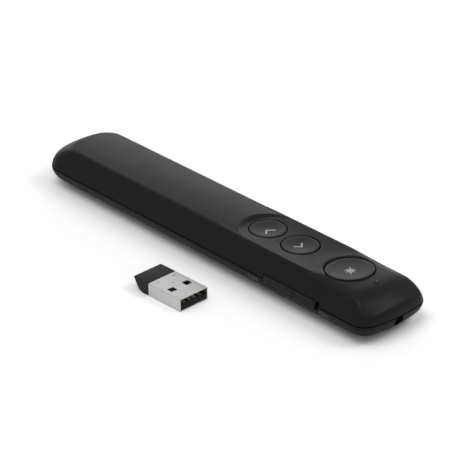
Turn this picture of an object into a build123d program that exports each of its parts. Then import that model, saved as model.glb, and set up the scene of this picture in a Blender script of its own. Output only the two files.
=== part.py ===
"""Hand-held wireless presentation clicker with its plug-in radio receiver.

Millimetres. The clicker lies flat: X runs along it with the laser nose at +X, Y is across it with the
power slider on the -Y side, +Z is up. The origin is the middle of the flat underside.
"""

from build123d import *
from math import cos, radians, sin, sqrt, tan
import os

# ---------------------------------------------------------------- driving dimensions
# housing
body_length = 160.5
seam_half_width = 14.8
top_half_width = 10.5
body_height = 15.0
seam_height = 6.8
wall = 1.6
floor_wall = 1.4
top_edge_radius = 2.2
hull_inset = 9.5
hollow_inset = 8.3
seam_groove_depth = 0.5
seam_groove_half = 0.14

tail_radius = 25.0
tail_corner = 8.0
tail_top_inset = 8.5
tail_top_radius = 34.0
tail_top_corner = 6.2
tail_slope_power = 2.0
nose_radius = 56.0
nose_corner = 5.7
nose_top_inset = 6.5
nose_top_radius = 60.0
nose_top_corner = 4.0
nose_slope_power = 2.6
keel_end_radius = 14.0
keel_corner = 3.0
inner_corner_least = 1.2

# shallow thumb recess round the buttons
scoop_depth = 0.85
scoop_tail_x = 12.6
scoop_end_radius = 10.3
scoop_wall_run = 1.4
scoop_cross_radius = 115.0
scoop_rise_x = 45.0
scoop_rise_angle = 3.0
scoop_wall = 1.35

# buttons
small_button_radius = 6.1
laser_button_radius = 7.85
button_gap = 0.28
previous_button_x = 21.2
next_button_x = 36.3
laser_button_x = 58.4
small_button_proud = 0.15
laser_button_proud = -0.25
laser_button_tilt = 3.5
button_dish_depth = 0.25
button_dish_rim = 0.9
button_edge_radius = 0.3
button_hole_chamfer = 0.3
button_flange = 0.75
button_flange_thickness = 0.7
button_travel = 0.4
button_roof_clearance = 0.1
button_post_radius = 1.4
button_post_clearance = 0.1
button_post_length = 0.5

# circuit board and switches
board_thickness = 1.0
board_bay_gap = 9.0
board_nose_setback = 6.25
board_half_width = 10.0
board_neck_setback = 15.25
board_neck_half_width = 4.6
tact_side = 6.0
tact_height = 1.6
tact_plunger_radius = 1.5
tact_plunger_clearance = 0.06
tact_plunger_depth = 0.9

# power slider
slider_window_tail_x = 34.3
slider_window_nose_x = 59.4
slider_window_bottom = 5.4
slider_window_top = 8.3
slider_travel = 1.5
slider_gap = 0.12
slider_skin_thickness = 1.5
slider_mark_x = 47.5
slider_mark_width = 0.8
slider_mark_proud = 0.25
slider_plate_clearance = 0.24
slider_plate_thickness = 0.8
slider_plate_length = 18.0
slider_plate_bottom = 4.7
slider_plate_top = 8.5
slider_rib_width = 2.0
slider_rib_spacing = 11.0
slider_rib_height = 1.6
slide_switch_length = 8.6
slide_switch_width = 3.2
slide_switch_floor = 0.6
switch_lever_length = 1.6
switch_lever_height = 0.9
switch_lever_lap = 0.55
switch_lever_root = 1.4
switch_lever_clearance = 0.06

# battery bay and cover
cell_radius = 5.25
cell_length = 43.5
cell_nub_radius = 1.9
cell_nub_length = 1.0
cell_bottom = 1.65
cell_side_clearance = 0.35
cell_roof_clearance = 0.15
cell_can_corner = 0.5
bay_tail_setback = 16.95
bay_wall = 0.9
bay_top_gap = 0.2
contact_thickness = 0.4
contact_edge_gap = 0.7
contact_floor_gap = 1.15
contact_tab_width = 3.0
contact_strip_height = 1.0
contact_strip_gap = 0.1
contact_lap = 2.5
contact_slot_clearance = 0.08
spring_length = 5.0
spring_wire = 0.6
spring_half_turns = 7
spring_base_radius = 3.2
spring_tip_radius = 1.8
cover_half_width = 5.85
cover_gap = 0.15
cover_nose_margin = 1.0
cover_tail_height = 2.45
cover_travel = 6.0
tab_reach = 1.4
tab_length = 4.0
tab_thickness = 0.9
tab_clearance = 0.1
tab_pitch = 32.0
shelf_clearance = 0.15
shelf_thickness = 0.8
shelf_side_gap = 0.3
grip_count = 6
grip_pitch = 1.3
grip_width = 0.5
grip_depth = 0.3
grip_half_length = 3.5
grip_from_edge = 9.0

# laser module behind its round window
laser_axis_height = 5.1
laser_aperture_radius = 1.9
laser_board_gap = 0.3
laser_barrel_length = 11.0
laser_setback = 5.05
laser_lens_radius = 1.6
laser_lens_thickness = 0.8
laser_can_radius = 2.4
laser_lead_radius = 0.2
laser_lead_spacing = 2.0
laser_bore_clearance = 0.04
laser_lens_recess = 0.6
laser_bore_depth = 3.0
laser_can_length = 2.6
laser_throat_radius = 1.0
laser_lead_reach = 1.6
laser_cradle_clearance = 0.05
laser_cradle_wall = 1.5
laser_cradle_inset = 1.0

# radio chip, its crystal and the small parts round them
chip_setback = 16.5
chip_y = 4.4
chip_side = 4.6
chip_height = 0.9
crystal_setback = 16.0
crystal_y = -5.8
crystal_length = 3.2
crystal_width = 2.5
crystal_height = 0.8
small_part_length = 1.4
small_part_width = 0.8
small_part_height = 0.55
small_part_pitch = 2.2
small_part_count = 5
small_part_setback = 12.0
small_part_rows = (-8.6, 8.6)

# status light
led_setback = 10.25
led_side = 1.6
led_height = 0.5
light_pipe_radius = 0.55
light_pipe_foot_radius = 1.3
light_pipe_clearance = 0.03

# fasteners
case_screw_radius = 1.0
case_screw_head_radius = 1.9
case_screw_head_height = 1.2
case_screw_length = 7.5
case_screw_board_gap = 4.0
case_screw_nose_setback = 10.75
case_screw_tail_y = 9.3
case_screw_nose_y = 8.4
case_screw_recess = 2.2
board_screw_radius = 0.8
board_screw_head_radius = 1.5
board_screw_head_height = 0.8
board_screw_length = 4.0
board_screw_setback = 9.0
board_screw_y = 7.6
boss_wall = 1.2
screw_clearance = 0.03
screw_slot_width = 0.5

# receiver: a USB type A plug with a short cap, lying beside the clicker
plug_width = 12.0
plug_height = 4.5
plug_length = 14.6
plug_sheet = 0.3
plug_hole_side = 2.2
plug_hole_spacing = 6.4
plug_hole_from_mouth = 6.5
plug_corner = 0.45
plug_dent_depth = 0.12
plug_dent_width = 0.5
plug_dent_length = 1.3
plug_dent_from_cap = 1.9
plug_dent_spacing = 6.7
plug_middle_dent_from_cap = 4.9
plug_fit = 0.03
cap_length = 7.1
cap_undercut = 2.7
cap_heel_radius = 1.6
cap_corner = 0.5
cap_insert_length = 1.5
cap_pocket_length = 4.0
cap_pocket_half_width = 4.8
cap_pocket_bottom = 1.1
cap_pocket_top = 3.4
tongue_thickness = 1.9
tongue_recess = 0.25
finger_width = 1.1
finger_places = (-3.5, -1.0, 1.0, 3.5)
finger_recess = 0.8
finger_lap = 1.1
finger_thickness = 0.2
receiver_board_thickness = 0.6
receiver_board_length = 5.1
receiver_board_half_width = 4.3
receiver_chip_side = 2.4
receiver_chip_height = 0.5
receiver_x = 16.5
receiver_y = -34.5
receiver_turn = 2.3

# ---------------------------------------------------------------- derived places
tail_x = -body_length / 2
nose_x = body_length / 2
rise = body_height - seam_height
ceiling = body_height - wall
scoop_floor = body_height - scoop_depth
scoop_ceiling = scoop_floor - scoop_wall

# the board hangs under the roof at the height that the small caps, their posts and the switches need
small_flange_bottom = scoop_ceiling - button_roof_clearance - button_flange_thickness
plunger_top = small_flange_bottom - button_post_length
tact_top = plunger_top - button_travel - button_post_clearance
board_top = tact_top - tact_height
board_bottom = board_top - board_thickness

board_nose_x = nose_x - board_nose_setback
board_neck_x = nose_x - board_neck_setback
led_x = nose_x - led_setback
laser_barrel_nose_x = nose_x - laser_setback
laser_barrel_tail_x = laser_barrel_nose_x - laser_barrel_length
laser_barrel_radius = board_bottom - laser_board_gap - laser_axis_height

cell_axis_height = cell_bottom + cell_radius
bay_half_width = cell_radius + cell_side_clearance
bay_top = ceiling - bay_top_gap
bay_roof = max(cell_bottom + 2 * cell_radius + cell_roof_clearance, bay_top - bay_wall)
bay_tail_x = tail_x + bay_tail_setback
bay_nose_x = bay_tail_x + cell_length + cell_nub_length + spring_length + 2 * contact_thickness
cell_nose_x = bay_nose_x - contact_thickness - cell_nub_length
cell_tail_x = cell_nose_x - cell_length
strip_inside = bay_half_width + bay_wall + contact_strip_gap
contact_bottom = cell_bottom + contact_floor_gap
contact_top = bay_roof - contact_edge_gap
contact_half_width = bay_half_width - contact_edge_gap

board_tail_x = bay_nose_x + board_bay_gap
contact_nose_x = board_tail_x + contact_lap
chip_x = board_tail_x + chip_setback
crystal_x = board_tail_x + crystal_setback
small_part_x = board_tail_x + small_part_setback

opening_half_width = cover_half_width + cover_gap
cover_nose_x = bay_nose_x + cover_nose_margin
tab_half_width = opening_half_width + tab_reach
tab_top = floor_wall + tab_clearance + tab_thickness
shelf_bottom = tab_top + shelf_clearance
shelf_top = shelf_bottom + shelf_thickness
shelf_inside = tab_half_width + shelf_side_gap
shelf_outside = shelf_inside + bay_wall
tab_middle = (bay_tail_x + cover_nose_x + cover_travel) / 2
tab_places = (tab_middle - tab_pitch / 2, tab_middle + tab_pitch / 2)
cell_above_tabs = cell_axis_height - tab_top
tab_root_inside = sqrt(max(0.0, cell_radius**2 - cell_above_tabs**2)) + cell_side_clearance

slider_tail_x = slider_window_tail_x + slider_gap
slider_nose_x = slider_window_nose_x - slider_gap - slider_travel
slider_middle_x = (slider_tail_x + slider_nose_x) / 2
slider_middle_height = (slider_window_bottom + slider_window_top) / 2
slider_skin_inside = seam_half_width - slider_skin_thickness
plate_top_share = (slider_plate_top - seam_height) / (rise - wall)
wall_inside = seam_half_width - plate_top_share * (seam_half_width - top_half_width) - wall
slider_plate_outside = wall_inside - slider_plate_clearance
slider_plate_inside = slider_plate_outside - slider_plate_thickness
slot_reach = switch_lever_height / 2 + switch_lever_clearance
slide_switch_bottom = slider_middle_height - slot_reach - slide_switch_floor

case_screw_seat = case_screw_recess + case_screw_head_height
case_screw_top = case_screw_seat + case_screw_length
case_screw_tail_x = board_tail_x - case_screw_board_gap
case_screw_nose_x = nose_x - case_screw_nose_setback
case_screw_places = (
    (case_screw_tail_x, -case_screw_tail_y),
    (case_screw_tail_x, case_screw_tail_y),
    (case_screw_nose_x, -case_screw_nose_y),
    (case_screw_nose_x, case_screw_nose_y),
)
board_screw_top = board_bottom + board_screw_length
board_screw_places = (
    (board_tail_x + board_screw_setback, -board_screw_y),
    (board_tail_x + board_screw_setback, board_screw_y),
    ((previous_button_x + next_button_x) / 2, -board_screw_y),
    ((next_button_x + laser_button_x) / 2, board_screw_y),
)

# name, place, radius, how far the cap's middle stands above the recess floor, and its slope
buttons = (
    ("previous", previous_button_x, small_button_radius, small_button_proud, 0),
    ("next", next_button_x, small_button_radius, small_button_proud, 0),
    ("laser", laser_button_x, laser_button_radius, laser_button_proud, laser_button_tilt),
)

# tools that cut reach this far past what they cut
past = 1.0


# ---------------------------------------------------------------- shared shapes
def box(x0, x1, y0, y1, z0, z1):
    """A box between two corners."""
    return Pos((x0 + x1) / 2, (y0 + y1) / 2, (z0 + z1) / 2) * Box(x1 - x0, y1 - y0, z1 - z0)


def across(x0, x1, half_width, z0, z1):
    """A box centred on the long axis."""
    return box(x0, x1, -half_width, half_width, z0, z1)


def post(x, y, z0, z1, radius):
    """An upright cylinder between two heights."""
    return Pos(x, y, (z0 + z1) / 2) * Cylinder(radius, z1 - z0)


def rod(x0, x1, y, z, radius):
    """A cylinder along X between two places."""
    return Pos((x0 + x1) / 2, y, z) * Rot(0, 90, 0) * Cylinder(radius, x1 - x0)


def one(shape):
    """The single solid of a shape, so that a piece that broke in two is noticed."""
    solids = shape.solids()
    if len(solids) != 1:
        raise ValueError(f"expected one solid, got {len(solids)}")
    return solids[0]


def end_points(tip, radius, corner, half_width, side):
    """Where a rounded end leaves its straight side, the middle of its corner arc and where the arcs meet.

    A large arc crosses the end on the centre line, and a smaller corner arc takes it tangent into each
    straight side. side is 1 for the nose and -1 for the tail. The points are those at +Y.
    """
    turn = (half_width - corner) / (radius - corner)
    centre = tip - side * radius
    corner_x = centre + side * sqrt((radius - corner) ** 2 - (half_width - corner) ** 2)
    middle = (
        corner_x + side * corner * sqrt((1 - turn) / 2),
        half_width - corner + corner * sqrt((1 + turn) / 2),
    )
    meet = (centre + side * radius * sqrt(1 - turn**2), radius * turn)
    return (corner_x, half_width), middle, meet


def outline(height, half_width, tail, nose):
    """The closed outline of the body at one height. tail and nose are (tip, end radius, corner radius)."""
    nose_side, nose_middle, nose_meet = end_points(*nose, half_width, 1)
    tail_side, tail_middle, tail_meet = end_points(*tail, half_width, -1)

    def left(point):
        return (point[0], point[1], height)

    def right(point):
        return (point[0], -point[1], height)

    def tip(x):
        return (x, 0, height)

    return Wire(
        [
            Edge.make_line(right(tail_side), right(nose_side)),
            Edge.make_three_point_arc(right(nose_side), right(nose_middle), right(nose_meet)),
            Edge.make_three_point_arc(right(nose_meet), tip(nose[0]), left(nose_meet)),
            Edge.make_three_point_arc(left(nose_meet), left(nose_middle), left(nose_side)),
            Edge.make_line(left(nose_side), left(tail_side)),
            Edge.make_three_point_arc(left(tail_side), left(tail_middle), left(tail_meet)),
            Edge.make_three_point_arc(left(tail_meet), tip(tail[0]), right(tail_meet)),
            Edge.make_three_point_arc(right(tail_meet), right(tail_middle), right(tail_side)),
        ]
    )


def between(low, high, share):
    return low + share * (high - low)


def upper_outline(share, inset=0.0, drop=0.0):
    """Outline of the upper half at a share of its rise, moved inwards by inset and under a lower roof."""
    tail = (
        tail_x + tail_top_inset * share**tail_slope_power + inset,
        between(tail_radius, tail_top_radius, share) - inset,
        max(between(tail_corner, tail_top_corner, share) - inset, inner_corner_least),
    )
    nose = (
        nose_x - nose_top_inset * share**nose_slope_power - inset,
        between(nose_radius, nose_top_radius, share) - inset,
        max(between(nose_corner, nose_top_corner, share) - inset, inner_corner_least),
    )
    half_width = between(seam_half_width, top_half_width, share) - inset
    return outline(seam_height + share * (rise - drop), half_width, tail, nose)


def hull_outline(angle, rounding=hull_inset, inset=0.0, lift=0.0):
    """Outline of the boat-shaped lower half. angle runs from 0 at the seam to 90 at the keel."""
    share = 1 - cos(radians(angle))
    inwards = inset + rounding * share
    tail = (
        tail_x + inwards,
        between(tail_radius, keel_end_radius, share),
        max(between(tail_corner, keel_corner, share) - inset, inner_corner_least),
    )
    nose = (
        nose_x - inwards,
        between(nose_radius, keel_end_radius, share),
        max(between(nose_corner, keel_corner, share) - inset, inner_corner_least),
    )
    height = seam_height - (seam_height - lift) * sin(radians(angle))
    return outline(height, seam_half_width - inwards, tail, nose)


upper_shares = (0.0, 0.3, 0.6, 0.85, 1.0)
hull_angles = (0, 25, 48, 70, 90)


def make_upper_form():
    """Outer form of the upper half, with its rounded top edge."""
    form = Solid.make_loft([upper_outline(share) for share in upper_shares])
    rim = form.edges().group_by(Axis.Z)[-1]
    return form.fillet(top_edge_radius, rim)


upper_form = make_upper_form()
upper_hollow = Solid.make_loft([upper_outline(share, wall, wall) for share in upper_shares])
hull_form = Solid.make_loft([hull_outline(angle) for angle in hull_angles])
hull_hollow = Solid.make_loft([hull_outline(angle, hollow_inset, wall, floor_wall) for angle in hull_angles])


def seam_outline(inset):
    """The outline at the seam moved inwards."""
    return outline(
        seam_height,
        seam_half_width - inset,
        (tail_x + inset, tail_radius - inset, tail_corner - inset),
        (nose_x - inset, nose_radius - inset, nose_corner - inset),
    )


def make_seam_groove():
    """The shadow line round the seam, half of it in each shell."""
    outside = extrude(Face(seam_outline(-past)), seam_groove_half, both=True)
    return outside - extrude(Face(seam_outline(seam_groove_depth)), seam_groove_half, both=True)


seam_groove = make_seam_groove()


def scoop_lift(x):
    """How far the recess floor has risen at x."""
    return max(0.0, (x - scoop_rise_x) * tan(radians(scoop_rise_angle)))


def scoop_slope(x):
    """The angle of the recess floor at x."""
    return scoop_rise_angle if x > scoop_rise_x else 0.0


def scoop_cutter():
    """The thumb recess: a shallow trough across the top, closed by a round wall at its tail end."""
    top = body_height + past
    start = scoop_tail_x - scoop_wall_run
    end = scoop_rise_x + (top - scoop_floor) / tan(radians(scoop_rise_angle))
    profile = Plane.XZ * Polygon(
        (start, scoop_floor), (scoop_rise_x, scoop_floor), (end, top), (start, top), align=None
    )
    lengthwise = extrude(profile, seam_half_width, both=True)
    trough = rod(start - past, end + past, 0, scoop_floor + scoop_cross_radius, scoop_cross_radius)
    bottom_radius = scoop_end_radius - scoop_wall_run / 2
    top_radius = bottom_radius + (top - scoop_floor) * scoop_wall_run / scoop_depth
    end_x = scoop_tail_x + scoop_end_radius
    round_end = Pos(end_x, 0, (scoop_floor + top) / 2) * Cone(bottom_radius, top_radius, top - scoop_floor)
    ahead = across(end_x, end + past, seam_half_width, scoop_floor - past, top)
    return lengthwise & trough & (round_end + ahead)


def slider_window(tail, nose, gap):
    """The opening for the power slider in the -Y wall, narrowed above and below by a gap."""
    return box(
        tail,
        nose,
        -seam_half_width - past,
        -slider_plate_outside,
        slider_window_bottom + gap,
        slider_window_top - gap,
    )


# ---------------------------------------------------------------- housing
def button_hole(x, radius):
    """The hole for one cap, its chamfered rim and the recess behind it for the cap's flange."""
    lift = scoop_lift(x)
    hole = post(x, 0, scoop_ceiling - past, body_height + past, radius + button_gap)
    hole += post(x, 0, board_top, scoop_ceiling + lift, radius + button_flange + button_gap)
    wide = radius + button_gap + 2 * button_hole_chamfer
    deep = 3 * button_hole_chamfer
    rim = Pos(0, 0, -button_hole_chamfer / 2) * Cone(wide - deep, wide, deep)
    return hole + Pos(x, 0, scoop_floor + lift) * Rot(0, -scoop_slope(x), 0) * rim


def upper_shell():
    """Top casing: slanted sides, thumb recess, screw bosses and holes for all that shows through it."""
    thick_from = scoop_tail_x - scoop_wall_run - wall
    thick = across(thick_from, board_neck_x, seam_half_width, scoop_ceiling, body_height)
    shell = upper_form - (upper_hollow - thick) - scoop_cutter()
    for x, y in case_screw_places:
        shell += post(x, y, seam_height, body_height, case_screw_radius + boss_wall) & upper_form
    for x, y in board_screw_places:
        shell += post(x, y, board_top, scoop_ceiling + past, board_screw_radius + boss_wall)
    shell += across(led_x - led_side, led_x + led_side, led_side, scoop_ceiling, ceiling + past)
    gap = screw_clearance
    for x, y in case_screw_places:
        shell -= post(x, y, seam_height - past, case_screw_top + gap, case_screw_radius + gap)
    for x, y in board_screw_places:
        shell -= post(x, y, board_top - past, board_screw_top + gap, board_screw_radius + gap)
    for _, x, radius, _, _ in buttons:
        shell -= button_hole(x, radius)
    shell -= post(led_x, 0, board_top, body_height + past, light_pipe_radius + light_pipe_clearance)
    shell -= slider_window(slider_window_tail_x, slider_window_nose_x, 0)
    shell -= rod(laser_barrel_nose_x, nose_x + past, 0, laser_axis_height, laser_aperture_radius)
    return one(shell - seam_groove)


def battery_bay():
    """Walls, roof and side shelves of the battery bay, which grow from the bottom casing."""
    ends = (bay_tail_x - bay_wall, bay_nose_x + bay_wall)
    outside = bay_half_width + bay_wall
    bay = across(*ends, outside, shelf_bottom, bay_top)
    bay += across(*ends, shelf_outside, shelf_bottom, shelf_top)
    bay += across(*ends, shelf_outside, floor_wall / 2, shelf_top) - across(*ends, shelf_inside, 0, shelf_top)
    return bay - across(bay_tail_x, bay_nose_x, bay_half_width, 0, bay_roof)


def contact_slots():
    """Where the two contacts leave the bay for the circuit board."""
    gap = contact_slot_clearance
    tab = across(
        bay_nose_x - past,
        bay_nose_x + bay_wall + past,
        contact_tab_width / 2 + gap,
        board_top - gap,
        board_top + contact_thickness + gap,
    )
    strip = box(
        bay_tail_x - gap,
        bay_tail_x + contact_thickness + gap,
        bay_half_width - past,
        strip_inside + past,
        board_top - gap,
        board_top + contact_strip_height + gap,
    )
    return tab + strip


def lower_shell():
    """Bottom casing: boat-shaped, open under the battery, with the laser cradle and the screw posts."""
    shell = hull_form - hull_hollow
    shell += battery_bay() & (hull_form + across(tail_x, nose_x, seam_half_width, seam_height, body_height))
    for x, y in case_screw_places:
        shell += post(x, y, 0, seam_height, case_screw_head_radius + boss_wall) & hull_form
    cradle = across(
        laser_barrel_tail_x + laser_cradle_inset,
        laser_barrel_nose_x - laser_cradle_inset,
        laser_barrel_radius + laser_cradle_wall,
        floor_wall / 2,
        laser_axis_height + laser_cradle_wall,
    )
    shell += cradle & hull_form
    shell -= rod(
        laser_barrel_tail_x - past,
        laser_barrel_nose_x + laser_cradle_clearance,
        0,
        laser_axis_height,
        laser_barrel_radius + laser_cradle_clearance,
    )
    shell -= rod(laser_barrel_nose_x, nose_x + past, 0, laser_axis_height, laser_aperture_radius)
    for x, y in case_screw_places:
        shell -= post(x, y, -past, seam_height + past, case_screw_radius + screw_clearance)
        shell -= post(x, y, -past, case_screw_seat, case_screw_head_radius + screw_clearance)
    shell -= slider_window(slider_window_tail_x, slider_window_nose_x, 0)
    shell -= across(tail_x - past, cover_nose_x, opening_half_width, -past, cover_tail_height + cover_gap)
    for x in tab_places:
        notch = x - cover_travel
        reach = tab_length / 2 + cover_gap
        shell -= across(notch - reach, notch + reach, tab_half_width + cover_gap, -past, shelf_bottom)
    return one(shell - contact_slots() - seam_groove)


def battery_cover():
    """Slide-off cover under the battery: the missing strip of the hull, with four tabs that hold it in."""
    hull_wall = hull_form - hull_hollow
    nose = cover_nose_x - cover_gap
    cover = hull_wall & across(tail_x - past, nose, cover_half_width, -past, cover_tail_height)
    for x in tab_places:
        tab = across(x - tab_length / 2, x + tab_length / 2, tab_half_width, floor_wall / 2, tab_top)
        wings = tab - Pos(0, 0, tab_clearance) * hull_wall
        root = across(x - tab_length / 2, x + tab_length / 2, cover_half_width, floor_wall / 2, tab_top)
        root -= across(x - tab_length, x + tab_length, tab_root_inside, floor_wall, tab_top + past)
        wings -= across(x - tab_length, x + tab_length, tab_root_inside, floor_wall, tab_top + past)
        cover += wings + root
    for step in range(grip_count):
        groove = nose - grip_from_edge + step * grip_pitch
        cover -= across(groove, groove + grip_width, grip_half_length, -past, grip_depth)
    return one(cover)


def screw(x, y, seat, top, radius, head_radius, head_height):
    """A cross-head screw standing head down: the head hangs below its seat."""
    body = post(x, y, seat - head_height, seat, head_radius) + post(x, y, seat, top, radius)
    half = screw_slot_width / 2
    depth = seat - head_height / 2
    slot = box(x - radius, x + radius, y - half, y + half, seat - head_height - past, depth)
    slot += box(x - half, x + half, y - radius, y + radius, seat - head_height - past, depth)
    return one(body - slot)


def case_screws():
    heights = (case_screw_seat, case_screw_top)
    sizes = (case_screw_radius, case_screw_head_radius, case_screw_head_height)
    return [screw(x, y, *heights, *sizes) for x, y in case_screw_places]


def board_screws():
    heights = (board_bottom, board_screw_top)
    sizes = (board_screw_radius, board_screw_head_radius, board_screw_head_height)
    return [screw(x, y, *heights, *sizes) for x, y in board_screw_places]


# ---------------------------------------------------------------- buttons and their switches
def button_cap(x, radius, proud, slope):
    """A round dished cap at a slope, on a flange that holds it in."""
    top = scoop_floor + scoop_lift(x) + proud
    flange_top = scoop_ceiling + scoop_lift(x) - button_roof_clearance
    flange_bottom = flange_top - button_flange_thickness
    tilt = Pos(x, 0, top) * Rot(0, -slope, 0)
    cap = post(x, 0, flange_bottom, top + past, radius)
    cap -= tilt * Pos(0, 0, past) * Box(3 * radius, 3 * radius, 2 * past)
    cap = fillet(cap.edges().group_by(Axis.Z)[-1], button_edge_radius)
    rim = radius - button_dish_rim
    dish_radius = rim**2 / (2 * button_dish_depth) + button_dish_depth / 2
    cap -= tilt * Pos(0, 0, dish_radius - button_dish_depth) * Sphere(dish_radius)
    cap += post(x, 0, flange_bottom, flange_top, radius + button_flange)
    cap += post(x, 0, plunger_top, flange_bottom + button_flange_thickness / 2, button_post_radius)
    return one(cap)


def switch_body(x):
    """A push switch on the board, with a well for its plunger."""
    body = box(x - tact_side / 2, x + tact_side / 2, -tact_side / 2, tact_side / 2, board_top, tact_top)
    well = tact_top - tact_plunger_depth - button_travel - button_post_clearance
    return one(body - post(x, 0, well, tact_top + past, tact_plunger_radius + tact_plunger_clearance))


def switch_plunger(x):
    return one(post(x, 0, tact_top - tact_plunger_depth, plunger_top, tact_plunger_radius))


# ---------------------------------------------------------------- circuit board and what it carries
def circuit_board():
    """One board, narrowed at the nose where it passes over the laser."""
    board = across(board_tail_x, board_neck_x, board_half_width, board_bottom, board_top)
    board += across(board_neck_x, board_nose_x, board_neck_half_width, board_bottom, board_top)
    for x, y in board_screw_places:
        board -= post(x, y, board_bottom - past, board_top + past, board_screw_radius + screw_clearance)
    return one(board)


def on_board(x, y, length, width, height):
    """A block standing on the board's top face."""
    return box(x - length / 2, x + length / 2, y - width / 2, y + width / 2, board_top, board_top + height)


def crystal():
    can = on_board(crystal_x, crystal_y, crystal_length, crystal_width, crystal_height)
    return one(fillet(can.edges().filter_by(Axis.Z), crystal_width / 5))


def chip_parts():
    """Small resistors and capacitors in two rows."""
    sizes = (small_part_length, small_part_width, small_part_height)
    return [
        on_board(small_part_x + step * small_part_pitch, y, *sizes)
        for y in small_part_rows
        for step in range(small_part_count)
    ]


def light_pipe():
    """Clear pin that takes the light up to the roof, with a collar that stops it falling out."""
    foot = board_top + led_height + button_post_clearance
    pin = post(led_x, 0, foot, body_height - light_pipe_clearance, light_pipe_radius)
    return one(pin + post(led_x, 0, foot, foot + 2 * light_pipe_radius, light_pipe_foot_radius))


# ---------------------------------------------------------------- laser
def laser_barrel():
    """Brass barrel: lens bore in front, diode seat behind, a narrow throat between."""
    tail, nose = laser_barrel_tail_x, laser_barrel_nose_x
    axis = laser_axis_height
    barrel = rod(tail, nose, 0, axis, laser_barrel_radius)
    barrel -= rod(nose - laser_bore_depth, nose + past, 0, axis, laser_lens_radius + laser_bore_clearance)
    barrel -= rod(tail - past, tail + laser_can_length, 0, axis, laser_can_radius + laser_bore_clearance)
    return one(barrel - rod(tail, nose, 0, axis, laser_throat_radius))


def laser_lens():
    front = laser_barrel_nose_x - laser_lens_recess
    return rod(front - laser_lens_thickness, front, 0, laser_axis_height, laser_lens_radius)


def laser_diode():
    tail = laser_barrel_tail_x
    return rod(tail, tail + laser_can_length, 0, laser_axis_height, laser_can_radius)


def laser_leads():
    """Two wires from the back of the diode, bent up to the underside of the board."""
    leads = []
    back = laser_barrel_tail_x - laser_lead_reach
    for y in (-laser_lead_spacing / 2, laser_lead_spacing / 2):
        lead = rod(back, laser_barrel_tail_x, y, laser_axis_height, laser_lead_radius)
        lead += Pos(back, y, laser_axis_height) * Sphere(laser_lead_radius)
        leads.append(one(lead + post(back, y, laser_axis_height, board_bottom, laser_lead_radius)))
    return leads


# ---------------------------------------------------------------- battery and its contacts
def battery_cell():
    """AAA cell, button end towards the nose."""
    can = rod(cell_tail_x, cell_nose_x, 0, cell_axis_height, cell_radius)
    can = fillet(can.edges().filter_by(GeomType.CIRCLE), cell_can_corner)
    nub_start = cell_nose_x - cell_can_corner
    return one(can + rod(nub_start, cell_nose_x + cell_nub_length, 0, cell_axis_height, cell_nub_radius))


def contact_plate(x):
    return across(x, x + contact_thickness, contact_half_width, contact_bottom, contact_top)


def positive_contact():
    """Plate at the nose end of the bay, with a tab soldered to the board."""
    start = bay_nose_x - contact_thickness
    tab = across(start, contact_nose_x, contact_tab_width / 2, board_top, board_top + contact_thickness)
    return one(contact_plate(start) + tab)


def negative_contact():
    """Plate at the tail end of the bay, with a strip that runs outside the bay to the board."""
    strip_top = board_top + contact_strip_height
    outside = strip_inside + contact_thickness
    arm = box(bay_tail_x, bay_tail_x + contact_thickness, 0, outside, board_top, strip_top)
    strip = box(bay_tail_x, contact_nose_x, strip_inside, outside, board_top, strip_top)
    return one(contact_plate(bay_tail_x) + arm + strip)


def battery_spring():
    """Conical spring between the tail plate and the cell, wound of tangent half turns."""
    ends = []
    for step in range(spring_half_turns + 1):
        share = step / spring_half_turns
        side = 1 if step % 2 == 0 else -1
        radius = between(spring_base_radius, spring_tip_radius, share)
        ends.append(Vector(side * radius, 0, share * (spring_length - spring_wire)))
    arcs = []
    for step, (start, end) in enumerate(zip(ends, ends[1:])):
        side = 1 if step % 2 == 0 else -1
        middle = (start + end) / 2 + Vector(0, side * (end - start).length / 2, 0)
        arcs.append(Edge.make_three_point_arc(start, middle, end))
    coil = Wire(arcs)
    wire = sweep(Plane(coil @ 0, z_dir=coil % 0) * Circle(spring_wire / 2), coil)
    start = bay_tail_x + contact_thickness + spring_wire / 2
    return one(Pos(start, 0, cell_axis_height) * Rot(0, 90, 0) * wire)


# ---------------------------------------------------------------- power switch
def power_slider():
    """The sliding cap: flush with both shells, ribbed to a plate behind the wall that holds the lever."""
    opening = slider_window(slider_tail_x, slider_nose_x, slider_gap)
    skin = (upper_form + hull_form) & opening
    skin -= box(slider_tail_x, slider_nose_x, -slider_skin_inside, 0, 0, body_height)
    raised = Pos(0, -slider_mark_proud, 0) * (upper_form + hull_form)
    half = slider_mark_width / 2
    mark = raised & slider_window(slider_mark_x - half, slider_mark_x + half, 2 * slider_gap)
    mark -= box(slider_tail_x, slider_nose_x, -slider_skin_inside, 0, 0, body_height)
    slider = skin + mark
    plate = box(
        slider_middle_x - slider_plate_length / 2,
        slider_middle_x + slider_plate_length / 2,
        -slider_plate_outside,
        -slider_plate_inside,
        slider_plate_bottom,
        slider_plate_top,
    )
    for side in (-1, 1):
        x = slider_middle_x + side * slider_rib_spacing / 2
        plate += box(
            x - slider_rib_width / 2,
            x + slider_rib_width / 2,
            -slider_skin_inside,
            -slider_plate_inside,
            slider_middle_height - slider_rib_height / 2,
            slider_middle_height + slider_rib_height / 2,
        )
    half = switch_lever_length / 2 + switch_lever_clearance
    plate -= box(
        slider_middle_x - half,
        slider_middle_x + half,
        -slider_plate_outside - past,
        -slider_plate_inside + past,
        slider_middle_height - slot_reach,
        slider_middle_height + slot_reach,
    )
    return one(slider + plate)


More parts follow.
